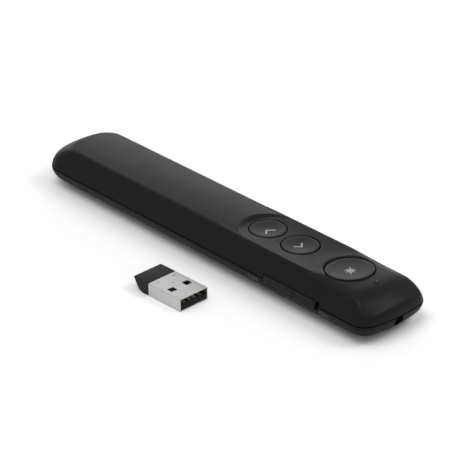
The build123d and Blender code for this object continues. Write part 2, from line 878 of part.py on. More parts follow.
def slide_switch_body():
    """Switch under the edge of the board, with a slot as long as the lever's travel."""
    middle = slider_middle_x + slider_travel / 2
    body = box(
        middle - slide_switch_length / 2,
        middle + slide_switch_length / 2,
        -board_half_width,
        -board_half_width + slide_switch_width,
        slide_switch_bottom,
        board_bottom,
    )
    half = (switch_lever_length + slider_travel) / 2 + switch_lever_clearance
    slot = box(
        middle - half,
        middle + half,
        -board_half_width - past,
        -board_half_width + switch_lever_root + switch_lever_clearance,
        slider_middle_height - slot_reach,
        slider_middle_height + slot_reach,
    )
    return one(body - slot)


def slide_switch_lever():
    return box(
        slider_middle_x - switch_lever_length / 2,
        slider_middle_x + switch_lever_length / 2,
        -slider_plate_inside - switch_lever_lap,
        -board_half_width + switch_lever_root,
        slider_middle_height - switch_lever_height / 2,
        slider_middle_height + switch_lever_height / 2,
    )


# ---------------------------------------------------------------- receiver, in its own frame, mouth at +X
mouth_x = plug_length / 2
cap_x = -plug_length / 2
tongue_bottom = plug_sheet + plug_fit
tongue_top = tongue_bottom + tongue_thickness
insert_x = cap_x + cap_insert_length


def receiver_shell():
    """Folded sheet-metal plug: a flat tube with two square holes and three pressed marks on top."""
    def tube(half_width, low, high, corner):
        bar = across(cap_x, mouth_x, half_width, low, high)
        return fillet(bar.edges().filter_by(Axis.X), corner)

    outer = tube(plug_width / 2, 0, plug_height, plug_corner)
    inner = tube(plug_width / 2 - plug_sheet, plug_sheet, plug_height - plug_sheet, plug_corner - plug_sheet)
    shell = outer - inner
    half = plug_hole_side / 2
    hole_x = mouth_x - plug_hole_from_mouth
    for y in (-plug_hole_spacing / 2, plug_hole_spacing / 2):
        shell -= box(hole_x - half, hole_x + half, y - half, y + half, -past, plug_height + past)
    dents = (
        (plug_dent_from_cap, -plug_dent_spacing / 2),
        (plug_dent_from_cap, plug_dent_spacing / 2),
        (plug_middle_dent_from_cap, 0),
    )
    for along, y in dents:
        x = cap_x + along
        shell -= box(
            x - plug_dent_width / 2,
            x + plug_dent_width / 2,
            y - plug_dent_length / 2,
            y + plug_dent_length / 2,
            plug_height - plug_dent_depth,
            plug_height + past,
        )
    return one(shell)


def receiver_cap():
    """Moulded cap: flat on top, undercut at the back, with a hollow insert that plugs into the shell."""
    profile = Plane.XZ * Polygon(
        (cap_x, 0),
        (cap_x - cap_length + cap_undercut, 0),
        (cap_x - cap_length, plug_height),
        (cap_x, plug_height),
        align=None,
    )
    cap = extrude(profile, plug_width / 2, both=True)
    heel = cap.edges().filter_by(Axis.Y).filter_by_position(Axis.Z, -0.01, 0.01).sort_by(Axis.X)[0]
    cap = fillet(heel, cap_heel_radius)
    sides = cap.edges().filter_by(Axis.X)
    cap = fillet(sides, cap_corner)
    fit = plug_sheet + plug_fit
    cap += across(cap_x - past, insert_x, plug_width / 2 - fit, fit, plug_height - fit)
    cap -= across(
        cap_x - cap_pocket_length, insert_x + past, cap_pocket_half_width, cap_pocket_bottom, cap_pocket_top
    )
    return one(cap)


def receiver_tongue():
    inside = plug_width / 2 - plug_sheet - plug_fit
    tongue = across(insert_x, mouth_x - tongue_recess, inside, tongue_bottom, tongue_top)
    return one(fillet(tongue.edges().filter_by(Axis.X).group_by(Axis.Z)[0], plug_corner - plug_sheet))


def receiver_contacts():
    """Four gold fingers on the tongue, which lap onto the receiver's board."""
    return [
        box(
            insert_x - finger_lap,
            mouth_x - finger_recess,
            y - finger_width / 2,
            y + finger_width / 2,
            tongue_top,
            tongue_top + finger_thickness,
        )
        for y in finger_places
    ]


def receiver_board():
    return across(
        insert_x - receiver_board_length,
        insert_x,
        receiver_board_half_width,
        tongue_top - receiver_board_thickness,
        tongue_top,
    )


def receiver_chip():
    x = insert_x - receiver_board_length + receiver_chip_side
    half = receiver_chip_side / 2
    return box(x - half, x + half, -half, half, tongue_top, tongue_top + receiver_chip_height)


receiver_place = Pos(receiver_x, receiver_y, 0) * Rot(0, 0, receiver_turn)


# ---------------------------------------------------------------- writing
def write(name, shape):
    """One STEP file a node. A list of pieces becomes one group of separate solids."""
    if isinstance(shape, list):
        shape = Compound(children=[one(piece) for piece in shape])
    else:
        shape = one(shape)
    export_step(shape, f"parts/{name}.step")


os.makedirs("parts", exist_ok=True)
for piece in (upper_shell, lower_shell, battery_cover, case_screws, board_screws, circuit_board, crystal,
              chip_parts, light_pipe, laser_barrel, laser_lens, laser_diode, laser_leads, battery_cell,
              positive_contact, negative_contact, battery_spring, power_slider, slide_switch_body,
              slide_switch_lever):
    write(piece.__name__, piece())
write("radio_chip", on_board(chip_x, chip_y, chip_side, chip_side, chip_height))
write("status_led", on_board(led_x, 0, led_side, led_side, led_height))
for name, x, radius, proud, slope in buttons:
    write(f"{name}_button", button_cap(x, radius, proud, slope))
    write(f"{name}_switch_body", switch_body(x))
    write(f"{name}_switch_plunger", switch_plunger(x))
write("receiver_shell", receiver_place * receiver_shell())
write("receiver_cap", receiver_place * receiver_cap())
write("receiver_tongue", receiver_place * receiver_tongue())
write("receiver_contacts", [receiver_place * finger for finger in receiver_contacts()])
write("receiver_board", receiver_place * receiver_board())
write("receiver_chip", receiver_place * receiver_chip())
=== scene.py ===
from math import asin, cos, pi, radians, sin, sqrt, tan

import bmesh
import bpy
from mathutils import Matrix, Vector


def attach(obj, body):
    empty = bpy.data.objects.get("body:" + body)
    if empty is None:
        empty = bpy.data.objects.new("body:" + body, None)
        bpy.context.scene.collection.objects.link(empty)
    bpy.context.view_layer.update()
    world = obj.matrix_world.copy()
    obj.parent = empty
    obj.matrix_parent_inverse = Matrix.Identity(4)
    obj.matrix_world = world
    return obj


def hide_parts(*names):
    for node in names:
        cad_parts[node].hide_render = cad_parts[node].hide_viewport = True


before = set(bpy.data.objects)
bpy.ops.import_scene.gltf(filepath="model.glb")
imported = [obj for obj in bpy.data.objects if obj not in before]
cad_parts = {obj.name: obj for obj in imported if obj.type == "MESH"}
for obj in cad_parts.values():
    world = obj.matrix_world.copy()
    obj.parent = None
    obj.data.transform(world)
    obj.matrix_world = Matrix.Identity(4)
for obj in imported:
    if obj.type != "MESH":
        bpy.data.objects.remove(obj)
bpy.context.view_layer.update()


# ---------------------------------------------------------------- bottom casing
# The boat-shaped lower half: injection moulded ABS with a fine eroded grain. It carries the
# battery bay, the laser cradle and four screw posts, and meets the top half at a sunk shadow line.
SEAM_HEIGHT = 6.8
SEAM_HALF_WIDTH = 14.8
GROOVE_DEPTH = 0.8
GROOVE_HALF = 0.17
GROOVE_EDGE = 0.07
PAST_SEAM = 0.3
TAIL_X, NOSE_X = -80.25, 80.25
TAIL_ARC, TAIL_CORNER = 25, 8
NOSE_ARC, NOSE_CORNER = 56, 5.7
KEEL_ARC, KEEL_CORNER = 14, 3
LEAST_CORNER = 1.2
ARC_STEPS, CORNER_STEPS = 20, 9
HULL_ROUNDING = 9.5
HOLLOW_ROUNDING = 8.3
HULL_STEPS = 14
FIRST_ANGLE = 2
WALL = 1.6
FLOOR = 1.4
CASE_SCREWS = ((-8.0, -9.3), (-8.0, 9.3), (69.5, -8.4), (69.5, 8.4))
POST_RADIUS, PILOT_RADIUS, HEAD_RADIUS = 3.1, 1.03, 1.93
SWITCH_WINDOW = ((34.3, -17.0, 5.4), (59.4, -11.85, 8.3))
LASER_HEIGHT = 5.1
LASER_CRADLE = ((65.2, -4.5, 0), (74.2, 4.5, 6.6))
BARREL_RADIUS, WINDOW_RADIUS = 3.05, 1.9
BAY_TAIL, BAY_NOSE = -64.2, -12.1
BAY_FOOT = ((BAY_TAIL, -6.5, 2.55), (BAY_NOSE, 6.5, 8))
BAY_WALLS = ((BAY_TAIL, -6.5, 3.5), (BAY_NOSE, 6.5, 13.2))
BAY_ROOM = ((-63.3, -5.6, -1), (-13, 5.6, 12.3))
COVER_OPENING = ((-82, -6, -1), (-12, 6, 2.6))
TAB_NOTCHES = (-56.65, -24.65)
NOTCH_HALF_LENGTH, NOTCH_HALF_WIDTH, NOTCH_TOP = 2.15, 7.55, 2.55
CONTACT_SLOTS = (
    ((-14, -1.58, 9.32), (-11, 1.58, 9.88)),
    ((-63.38, 4.6, 9.32), (-62.82, 7.6, 10.48)),
)
# The rail beside each row of tabs and the shelf over it: inner side, outer side and bottom.
TAB_RAILS = ((7.7, 8.6, 0), (6.4, 7.8, 2.55))
RAIL_TOP = 3.35
CREASE_ANGLE = 30
COARSE = [step / 30 for step in range(31)]


def between(low, high, share):
    return low + share * (high - low)


def end_arcs(tip, radius, corner, half_width, side):
    """Centre of the large arc over an end, of its corner arcs, and how far the large arc turns each way."""
    lean = asin((half_width - corner) / (radius - corner))
    middle = tip - side * radius
    return middle, middle + side * (radius - corner) * cos(lean), lean


def loop_round(mesh, height, half_width, tail, nose, stations):
    """A closed loop round the body at one height. tail and nose are (tip, end radius, corner radius)."""
    before = set(mesh.edges)
    ends = {side: end_arcs(*end, half_width, side) for side, end in ((-1, tail), (1, nose))}
    corners = {-1: tail[2], 1: nose[2]}
    first = mesh.verts.new((ends[-1][1], -half_width, height))
    last = first
    for side in (1, -1):
        start, finish = ends[-side][1], ends[side][1]
        for share in stations[1:] if side == 1 else [1 - share for share in stations[-2::-1]]:
            last = bmesh.ops.extrude_vert_indiv(mesh, verts=[last])["verts"][0]
            last.co = (between(start, finish, share), -side * half_width, height)
        middle, corner_x, lean = ends[side]
        corner_y = side * (half_width - corners[side])
        for centre_x, centre_y, angle, steps in (
            (corner_x, -corner_y, pi / 2 - lean, CORNER_STEPS),
            (middle, 0, 2 * lean, ARC_STEPS),
            (corner_x, corner_y, pi / 2 - lean, CORNER_STEPS),
        ):
            turned = bmesh.ops.spin(
                mesh, geom=[last], cent=(centre_x, centre_y, height), axis=(0, 0, 1), angle=angle, steps=steps
            )
            last = turned["geom_last"][0]
    bmesh.ops.pointmerge(mesh, verts=[first, last], merge_co=first.co)
    return [edge for edge in mesh.edges if edge not in before]


def join_loops(mesh, loops):
    for lower, upper in zip(loops, loops[1:]):
        bmesh.ops.bridge_loops(mesh, edges=lower + upper)


def fill_loops(mesh, loops):
    """Closes a shape with a flat face on each of the loops."""
    for edges in loops:
        bmesh.ops.edgeloop_fill(mesh, edges=[edge for edge in edges if edge.is_valid])
    bmesh.ops.recalc_face_normals(mesh, faces=mesh.faces)


def hull_loop(mesh, angle, rounding=HULL_ROUNDING, inset=0.0, lift=0.0, height=None):
    """One loop of the boat shape. angle runs from 0 at the seam to 90 under the body."""
    share = 1 - cos(radians(angle))
    inwards = inset + rounding * share
    tail_corner = max(between(TAIL_CORNER, KEEL_CORNER, share) - inset, LEAST_CORNER)
    nose_corner = max(between(NOSE_CORNER, KEEL_CORNER, share) - inset, LEAST_CORNER)
    tail = (TAIL_X + inwards, between(TAIL_ARC, KEEL_ARC, share), tail_corner)
    nose = (NOSE_X - inwards, between(NOSE_ARC, KEEL_ARC, share), nose_corner)
    if height is None:
        height = SEAM_HEIGHT - (SEAM_HEIGHT - lift) * sin(radians(angle))
    return loop_round(mesh, height, SEAM_HALF_WIDTH - inwards, tail, nose, COARSE)


def hull_solid():
    """The outside of the bottom half as a full solid, with its half of the shadow line."""
    mesh = bmesh.new()
    angle = 90 / HULL_STEPS
    loops = [hull_loop(mesh, 0, inset=GROOVE_DEPTH)]
    loops.append(hull_loop(mesh, 0, inset=GROOVE_DEPTH, height=SEAM_HEIGHT - GROOVE_HALF))
    loops.append(hull_loop(mesh, 0, inset=GROOVE_EDGE, height=SEAM_HEIGHT - GROOVE_HALF))
    loops += [hull_loop(mesh, max(step * angle, FIRST_ANGLE)) for step in range(HULL_STEPS + 1)]
    join_loops(mesh, loops)
    fill_loops(mesh, (loops[0], loops[-1]))
    return mesh


def hull_hollow():
    """The room inside the bottom half, a little higher than the seam so that it cuts through."""
    mesh = bmesh.new()
    sizes = (HOLLOW_ROUNDING, WALL, FLOOR)
    loops = [hull_loop(mesh, 0, *sizes, height=SEAM_HEIGHT + PAST_SEAM)]
    loops += [hull_loop(mesh, angle, *sizes) for angle in range(0, 91, 9)]
    join_loops(mesh, loops)
    fill_loops(mesh, (loops[0], loops[-1]))
    return mesh


def block(low, high):
    mesh = bmesh.new()
    low, high = Vector(low), Vector(high)
    place = Matrix.Translation((low + high) / 2) @ Matrix.Diagonal((high - low).to_4d())
    place[3][3] = 1
    bmesh.ops.create_cube(mesh, size=1, matrix=place)
    return mesh


def pin(radius, start, finish, steps=48):
    """A round pin between two points."""
    mesh = bmesh.new()
    start, finish = Vector(start), Vector(finish)
    turn = (finish - start).to_track_quat("Z", "Y").to_matrix().to_4x4()
    bmesh.ops.create_cone(
        mesh, cap_ends=True, segments=steps, radius1=radius, radius2=radius,
        depth=(finish - start).length, matrix=Matrix.Translation((start + finish) / 2) @ turn,
    )
    return mesh


def laser_bore(radius, tail, nose):
    return pin(radius, (tail, 0, LASER_HEIGHT), (nose, 0, LASER_HEIGHT))


def combine(work, tool, operation="DIFFERENCE"):
    """Cut, join or keep the overlap of two solids."""
    things = []
    for mesh in (work, tool):
        data = bpy.data.meshes.new("in_work")
        mesh.to_mesh(data)
        mesh.free()
        thing = bpy.data.objects.new("in_work", data)
        bpy.context.scene.collection.objects.link(thing)
        things.append(thing)
    step = things[0].modifiers.new("combine", "BOOLEAN")
    step.operation = operation
    step.solver = "MANIFOLD"
    step.object = things[1]
    result = bmesh.new()
    result.from_object(things[0], bpy.context.evaluated_depsgraph_get())
    for thing in things:
        data = thing.data
        bpy.data.objects.remove(thing)
        bpy.data.meshes.remove(data)
    return result


def finish_piece(mesh, name, node, body, materials):
    """Turns a shape in millimetres into a finished piece in metres, riding on its body."""
    bmesh.ops.scale(mesh, vec=(0.001, 0.001, 0.001), verts=mesh.verts)
    data = bpy.data.meshes.new(name)
    mesh.to_mesh(data)
    mesh.free()
    for material in materials:
        data.materials.append(material)
    data.shade_smooth()
    data.set_sharp_from_angle(angle=radians(CREASE_ANGLE))
    piece = bpy.data.objects.new(name, data)
    bpy.context.scene.collection.objects.link(piece)
    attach(piece, body)
    if node:
        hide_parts(node)


def new_material(name):
    material = bpy.data.materials.new(name)
    material.use_nodes = True
    tree = material.node_tree
    return material, tree.nodes, tree.links, tree.nodes["Principled BSDF"]


def noise(nodes, links, place, scale, detail=3.0, stretch=(1, 1, 1)):
    """Noise over the object's own coordinates, in patches of about 1 / scale metres."""
    turn = nodes.new("ShaderNodeMapping")
    turn.inputs["Scale"].default_value = stretch
    links.new(place.outputs["Object"], turn.inputs["Vector"])
    pattern = nodes.new("ShaderNodeTexNoise")
    pattern.inputs["Scale"].default_value = scale
    pattern.inputs["Detail"].default_value = detail
    links.new(turn.outputs["Vector"], pattern.inputs["Vector"])
    return pattern.outputs["Fac"]


def spread(nodes, links, pattern, low, high):
    """A pattern's values spread between two numbers."""
    mapped = nodes.new("ShaderNodeMapRange")
    mapped.inputs["From Min"].default_value = 0.3
    mapped.inputs["From Max"].default_value = 0.7
    mapped.inputs["To Min"].default_value = low
    mapped.inputs["To Max"].default_value = high
    links.new(pattern, mapped.inputs["Value"])
    return mapped.outputs["Result"]


def blend_colours(nodes, links, pattern, first, second):
    mixed = nodes.new("ShaderNodeMix")
    mixed.data_type = "RGBA"
    mixed.inputs["A"].default_value = (*first, 1)
    mixed.inputs["B"].default_value = (*second, 1)
    links.new(pattern, mixed.inputs["Factor"])
    return mixed.outputs["Result"]


def moulded_plastic(name, colour, roughness, grain=3200, relief=0.000006, unevenness=0.12, sheen=0.16):
    """Moulded plastic: fine eroded grain, with slightly uneven colour and gloss from handling."""
    material, nodes, links, shader = new_material(name)
    shader.inputs["Specular IOR Level"].default_value = sheen
    place = nodes.new("ShaderNodeTexCoord")
    patches = noise(nodes, links, place, 70)
    fine = noise(nodes, links, place, grain, 2.0)
    dark = [channel * (1 - unevenness) for channel in colour]
    light = [channel * (1 + unevenness) for channel in colour]
    links.new(blend_colours(nodes, links, patches, dark, light), shader.inputs["Base Color"])
    links.new(spread(nodes, links, patches, roughness - 0.04, roughness + 0.04), shader.inputs["Roughness"])
    bump = nodes.new("ShaderNodeBump")
    bump.inputs["Strength"].default_value = 0.6
    bump.inputs["Distance"].default_value = relief
    links.new(fine, bump.inputs["Height"])
    links.new(bump.outputs["Normal"], shader.inputs["Normal"])
    return material


casing_plastic = moulded_plastic("casing_plastic", (0.0145, 0.0145, 0.0151), 0.40)
room = hull_hollow()
for x, y in CASE_SCREWS:
    room = combine(room, pin(POST_RADIUS, (x, y, -1), (x, y, SEAM_HEIGHT)))
room = combine(room, block(*LASER_CRADLE))
room = combine(room, block(*BAY_FOOT))
for side in (-1, 1):
    for inner, outer, foot in TAB_RAILS:
        low, high = sorted((side * inner, side * outer))
        room = combine(room, block((BAY_TAIL, low, foot), (BAY_NOSE, high, RAIL_TOP)))
bottom = combine(hull_solid(), room)
bottom = combine(bottom, block(*BAY_WALLS), "UNION")
bottom = combine(bottom, block(*BAY_ROOM))
bottom = combine(bottom, block(*COVER_OPENING))
for x in TAB_NOTCHES:
    start = (x - NOTCH_HALF_LENGTH, -NOTCH_HALF_WIDTH, -1)
    bottom = combine(bottom, block(start, (x + NOTCH_HALF_LENGTH, NOTCH_HALF_WIDTH, NOTCH_TOP)))
for slot in CONTACT_SLOTS:
    bottom = combine(bottom, block(*slot))
for x, y in CASE_SCREWS:
    bottom = combine(bottom, pin(PILOT_RADIUS, (x, y, 3), (x, y, 8)))
    bottom = combine(bottom, pin(HEAD_RADIUS, (x, y, -1), (x, y, 3.4)))
bottom = combine(bottom, block(*SWITCH_WINDOW))
bottom = combine(bottom, laser_bore(BARREL_RADIUS, 63, 75.25))
bottom = combine(bottom, laser_bore(WINDOW_RADIUS, 75, 82))
finish_piece(bottom, "bottom_casing", "lower_shell", "housing", [casing_plastic])


# ---------------------------------------------------------------- switch labels
# The two ends of the switch's travel, pad-printed on the bottom casing below the shadow line, in a
# thin grey film that follows the curve of its side.
RISE = 8.2
WALL_LEAN = 4.3
FILM_DEPTH = 0.06
LABEL_PROUD = 0.012
LABEL_LOW, LABEL_SIZE = 4.1, 2.6
LABEL_CUT = 0.2


def thicken(film, depth):
    """Gives a printed film its back and edges, so that it is a closed skin."""
    grown = bmesh.ops.extrude_face_region(film, geom=film.faces[:], use_keep_orig=True)["geom"]
    moved = [part for part in grown if isinstance(part, bmesh.types.BMVert)]
    bmesh.ops.translate(film, vec=depth, verts=moved)
    bmesh.ops.recalc_face_normals(film, faces=film.faces)


def outside_at(height):
    """Half width of the outside at a height on the straight sides, both casings."""
    if height >= SEAM_HEIGHT:
        return SEAM_HALF_WIDTH - WALL_LEAN * (height - SEAM_HEIGHT) / RISE
    sine = 1 - height / SEAM_HEIGHT
    return SEAM_HALF_WIDTH - HULL_ROUNDING * (1 - sqrt(1 - sine**2))


def label(text, x, name):
    """Letters that follow the side wall, readable from the -Y side."""
    line = bpy.data.curves.new(name, "FONT")
    line.body = text
    line.size = LABEL_SIZE
    line.align_x = "CENTER"
    letters = bpy.data.objects.new(name, line)
    bpy.context.scene.collection.objects.link(letters)
    flat = bpy.data.meshes.new_from_object(letters)
    bpy.data.objects.remove(letters)
    bpy.data.curves.remove(line)
    film = bmesh.new()
    film.from_mesh(flat)
    bpy.data.meshes.remove(flat)
    for step in range(1, 12):
        whole = film.verts[:] + film.edges[:] + film.faces[:]
        bmesh.ops.bisect_plane(film, geom=whole, plane_co=(0, step * LABEL_CUT, 0), plane_no=(0, 1, 0))
    for vert in film.verts:
        across, up = vert.co.x, vert.co.y + LABEL_LOW
        vert.co = (x + across, -outside_at(up) - LABEL_PROUD, up)
    bmesh.ops.remove_doubles(film, verts=film.verts, dist=0.0005)
    thicken(film, (0, FILM_DEPTH, 0))
    finish_piece(film, name, None, "housing", [label_paint])


label_paint = moulded_plastic("label_paint", (0.16, 0.16, 0.16), 0.5, 5000, 0.000003, 0.1)
label("OFF", 29.8, "off_label")
label("ON", 61.8, "on_label")


# ---------------------------------------------------------------- battery and its contacts
# An AAA cell with bare metal ends in a printed sleeve of two greys, between nickel-plated spring
# steel contacts: a wound conical spring at the tail and a plate at the nose, both soldered to the board.
CELL_TAIL, CELL_NOSE = -0.0579, -0.0144
# Where each band starts as a share of the cell's length, and its colour.
SLEEVE_BANDS = (
    (0.0, (0.55, 0.56, 0.58)),
    (0.06, (0.05, 0.05, 0.055)),
    (0.72, (0.30, 0.31, 0.33)),
    (0.97, (0.55, 0.56, 0.58)),
)


def plated_metal(name, colour, roughness, marks=900, stretch=(1, 1, 1), relief=0.000003):
    """Metal with fine drawn or tumbled marks and a slightly cloudy surface."""
    material, nodes, links, shader = new_material(name)
    shader.inputs["Metallic"].default_value = 1.0
    place = nodes.new("ShaderNodeTexCoord")
    clouds = noise(nodes, links, place, 160)
    fine = noise(nodes, links, place, marks, 4.0, stretch)
    dark = [channel * 0.9 for channel in colour]
    links.new(blend_colours(nodes, links, clouds, dark, colour), shader.inputs["Base Color"])
    links.new(spread(nodes, links, fine, roughness - 0.06, roughness + 0.08), shader.inputs["Roughness"])
    bump = nodes.new("ShaderNodeBump")
    bump.inputs["Strength"].default_value = 0.5
    bump.inputs["Distance"].default_value = relief
    links.new(fine, bump.inputs["Height"])
    links.new(bump.outputs["Normal"], shader.inputs["Normal"])
    return material


def dress(node, material):
    """Gives a node of the frame its material."""
    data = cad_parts[node].data
    data.materials.clear()
    data.materials.append(material)


spring_wire = plated_metal("spring_wire", (0.62, 0.61, 0.58), 0.28, 1400)
contact_plating = plated_metal("contact_plating", (0.66, 0.64, 0.60), 0.30, 1100, (1, 1, 4))
cell_sleeve, nodes, links, shader = new_material("cell_sleeve")
place = nodes.new("ShaderNodeTexCoord")
bands = nodes.new("ShaderNodeValToRGB")
bands.color_ramp.interpolation = "CONSTANT"
for count, (start, colour) in enumerate(SLEEVE_BANDS):
    ramp = bands.color_ramp.elements
    band = ramp[count] if count < 2 else ramp.new(start)
    band.position = start
    band.color = (*colour, 1)
along = nodes.new("ShaderNodeSeparateXYZ")
links.new(place.outputs["Object"], along.inputs["Vector"])
run = nodes.new("ShaderNodeMapRange")
run.inputs["From Min"].default_value = CELL_TAIL
run.inputs["From Max"].default_value = CELL_NOSE
links.new(along.outputs["X"], run.inputs["Value"])
links.new(run.outputs["Result"], bands.inputs["Fac"])
links.new(bands.outputs["Color"], shader.inputs["Base Color"])
links.new(spread(nodes, links, noise(nodes, links, place, 900), 0.25, 0.38), shader.inputs["Roughness"])
dress("battery_cell", cell_sleeve)
dress("battery_spring", spring_wire)
dress("positive_contact", contact_plating)
dress("negative_contact", contact_plating)


# ---------------------------------------------------------------- laser
# A turned brass barrel pressed into the cradle, with a coated lens in front and a diode can
# behind, whose two tinned leads bend up to the board.
turned_brass = plated_metal("turned_brass", (0.72, 0.52, 0.24), 0.26, 2600, (6, 1, 1))
gold_plate = plated_metal("gold_plate", (0.83, 0.62, 0.27), 0.22, 1500)
tinned_metal = plated_metal("tinned_metal", (0.70, 0.71, 0.72), 0.30, 1300)
coated_glass, nodes, links, shader = new_material("coated_glass")
shader.inputs["Transmission Weight"].default_value = 0.85
shader.inputs["IOR"].default_value = 1.52
place = nodes.new("ShaderNodeTexCoord")
haze = noise(nodes, links, place, 700)
coating = blend_colours(nodes, links, haze, (0.55, 0.35, 0.42), (0.62, 0.42, 0.50))
links.new(coating, shader.inputs["Base Color"])
links.new(spread(nodes, links, haze, 0.03, 0.09), shader.inputs["Roughness"])
dress("laser_barrel", turned_brass)
dress("laser_lens", coated_glass)
dress("laser_diode", gold_plate)
dress("laser_leads", tinned_metal)


# ---------------------------------------------------------------- circuit board
# A green solder-masked glass fibre board, screwed up into the top casing. It carries the radio
# chip, its crystal, two rows of small parts, three push switches, a slide switch and a light.
board_mask, nodes, links, shader = new_material("board_mask")
place = nodes.new("ShaderNodeTexCoord")
tracks = nodes.new("ShaderNodeTexBrick")
tracks.inputs["Color1"].default_value = (0.012, 0.10, 0.035, 1)
tracks.inputs["Color2"].default_value = (0.010, 0.085, 0.030, 1)
tracks.inputs["Mortar"].default_value = (0.03, 0.17, 0.06, 1)
tracks.inputs["Scale"].default_value = 220
tracks.inputs["Mortar Size"].default_value = 0.05
links.new(place.outputs["Object"], tracks.inputs["Vector"])
links.new(tracks.outputs["Color"], shader.inputs["Base Color"])
links.new(spread(nodes, links, noise(nodes, links, place, 500), 0.25, 0.4), shader.inputs["Roughness"])
bump = nodes.new("ShaderNodeBump")
bump.inputs["Distance"].default_value = 0.00002
bump.inputs["Strength"].default_value = 0.5
links.new(tracks.outputs["Fac"], bump.inputs["Height"])
links.new(bump.outputs["Normal"], shader.inputs["Normal"])
chip_epoxy = moulded_plastic("chip_epoxy", (0.02, 0.02, 0.021), 0.55, 6000, 0.000004)
ceramic_tan = moulded_plastic("ceramic_tan", (0.36, 0.25, 0.15), 0.45, 6000, 0.000004)
switch_metal = plated_metal("switch_metal", (0.66, 0.66, 0.65), 0.33, 1000, (5, 1, 1))
plunger_plastic = moulded_plastic("plunger_plastic", (0.72, 0.71, 0.68), 0.42, 4000, 0.000004, 0.04)
dress("circuit_board", board_mask)
dress("radio_chip", chip_epoxy)
dress("crystal", tinned_metal)
dress("chip_parts", ceramic_tan)
for name in ("previous", "next", "laser"):
    dress(f"{name}_switch_body", switch_metal)
    dress(f"{name}_switch_plunger", plunger_plastic)
dress("slide_switch_body", switch_metal)
lever_plastic = moulded_plastic("lever_plastic", (0.025, 0.025, 0.026), 0.45, 5000, 0.000004)
dress("slide_switch_lever", lever_plastic)
led_resin = moulded_plastic("led_resin", (0.80, 0.42, 0.06), 0.25, 5000, 0.000002, 0.06)
dress("status_led", led_resin)
pipe_clear, nodes, links, shader = new_material("pipe_clear")
shader.inputs["Transmission Weight"].default_value = 0.9
shader.inputs["IOR"].default_value = 1.49
place = nodes.new("ShaderNodeTexCoord")
haze = noise(nodes, links, place, 900)
# The pipe's grey tint is painted shade: it darkens the clear pipe into the dark spot of the shaded hole round
# the light.
pipe_shade_tint = blend_colours(nodes, links, haze, (0.42, 0.42, 0.41), (0.50, 0.50, 0.48))
links.new(pipe_shade_tint, shader.inputs["Base Color"])
links.new(spread(nodes, links, haze, 0.08, 0.2), shader.inputs["Roughness"])
dress("light_pipe", pipe_clear)


# ---------------------------------------------------------------- power slider
# A moulded cap in the side wall that moves 1.5 mm from OFF to ON. Its face follows both casings,
# with one raised line for the thumb nail, and two ribs join it to the plate that moves the lever.
SLIDER_PLATE = ((37.1, -11.85, 4.7), (55.1, -11.05, 8.5))
SLIDER_RIBS = (40.6, 51.6)
LEVER_SLOT = ((45.24, -12.5, 6.34), (46.96, -10.5, 7.36))


def skin(tail, nose, low, high, proud, inside, rounding):
    """A patch of the side wall between two places, with its edges softened."""
    mesh = bmesh.new()
    heights = [between(low, high, step / 10) for step in range(11)]
    points = [(tail, -outside_at(height) - proud, height) for height in heights]
    points += [(tail, -inside, high), (tail, -inside, low)]
    end = mesh.faces.new([mesh.verts.new(point) for point in points])
    side = bmesh.ops.extrude_face_region(mesh, geom=[end])["geom"]
    moved = [part for part in side if isinstance(part, bmesh.types.BMVert)]
    bmesh.ops.translate(mesh, vec=(nose - tail, 0, 0), verts=moved)
    bmesh.ops.recalc_face_normals(mesh, faces=mesh.faces)
    sharp = [
        edge for edge in mesh.edges
        if len(edge.link_faces) == 2
        and edge.calc_face_angle() > 1
        and max(v.co.y for v in edge.verts) < -inside - 0.01
    ]
    bmesh.ops.bevel(
        mesh, geom=sharp, offset=rounding, offset_type="OFFSET", segments=3, profile=0.5,
        affect="EDGES", material=-1,
    )
    return mesh


slider_plastic = moulded_plastic("slider_plastic", (0.026, 0.026, 0.027), 0.42)
slider = skin(tail=34.55, nose=57.70, low=5.52, high=7.95, proud=0.0, inside=13.3, rounding=0.12)
nail_line = skin(tail=47.1, nose=47.9, low=5.7, high=7.75, proud=0.25, inside=13.6, rounding=0.1)
slider = combine(slider, nail_line, "UNION")
slider = combine(slider, block(*SLIDER_PLATE), "UNION")
for x in SLIDER_RIBS:
    slider = combine(slider, block((x - 1, -13.4, 6.05), (x + 1, -11.4, 7.65)), "UNION")
slider = combine(slider, block(*LEVER_SLOT))
finish_piece(slider, "slider_cap", "power_slider", "power_slider", [slider_plastic])


# ---------------------------------------------------------------- buttons
# Three round moulded caps, dished for the thumb, on a flange that holds them under the roof. The
# two smaller ones turn slides and the larger one fires the laser; each has a pad-printed mark.
PREVIOUS_X, NEXT_X, LASER_X = 21.2, 36.3, 58.4
SMALL_RADIUS, LARGE_RADIUS = 6.1, 7.85
SCOOP_FLOOR = 14.15
SCOOP_RISE_X = 45.0
SCOOP_RISE = tan(radians(3))
LASER_TILT = tan(radians(3.5))
TURN_STEPS = 96
DISH_DEPTH = 0.25
CAP_RIM, CAP_FLAT, CAP_ROUNDING = 0.9, 0.6, 0.3
FLANGE_TOP, FLANGE_THICKNESS, FLANGE_REACH = 12.7, 0.7, 0.75
STEM_RADIUS, STEM_BOTTOM = 1.4, 11.5
STROKE_WIDTH = 0.62
PREVIOUS_MARK = ((23.35, 1.35), (21.35, -0.75), (23.35, -2.85))
NEXT_MARK = ((35.4, -2.1), (37.2, -0.3), (35.4, 1.5))
SUN_PLACE, SUN_RADIUS = (59.1, -0.48), 0.8
RAY_COUNT, RAY_TURN = 8, -42
LONG_RAY, SHORT_RAY = 3.0, 2.1
RAY_FOOT, RAY_HALF_WIDTH = 0.5, 0.48
PRINT_PROUD = 0.008
CUTS_PER_MM = 4


def scoop_lift(x):
    """How far the recess and the buttons in it rise towards the nose."""
    return max(0.0, (x - SCOOP_RISE_X) * SCOOP_RISE)


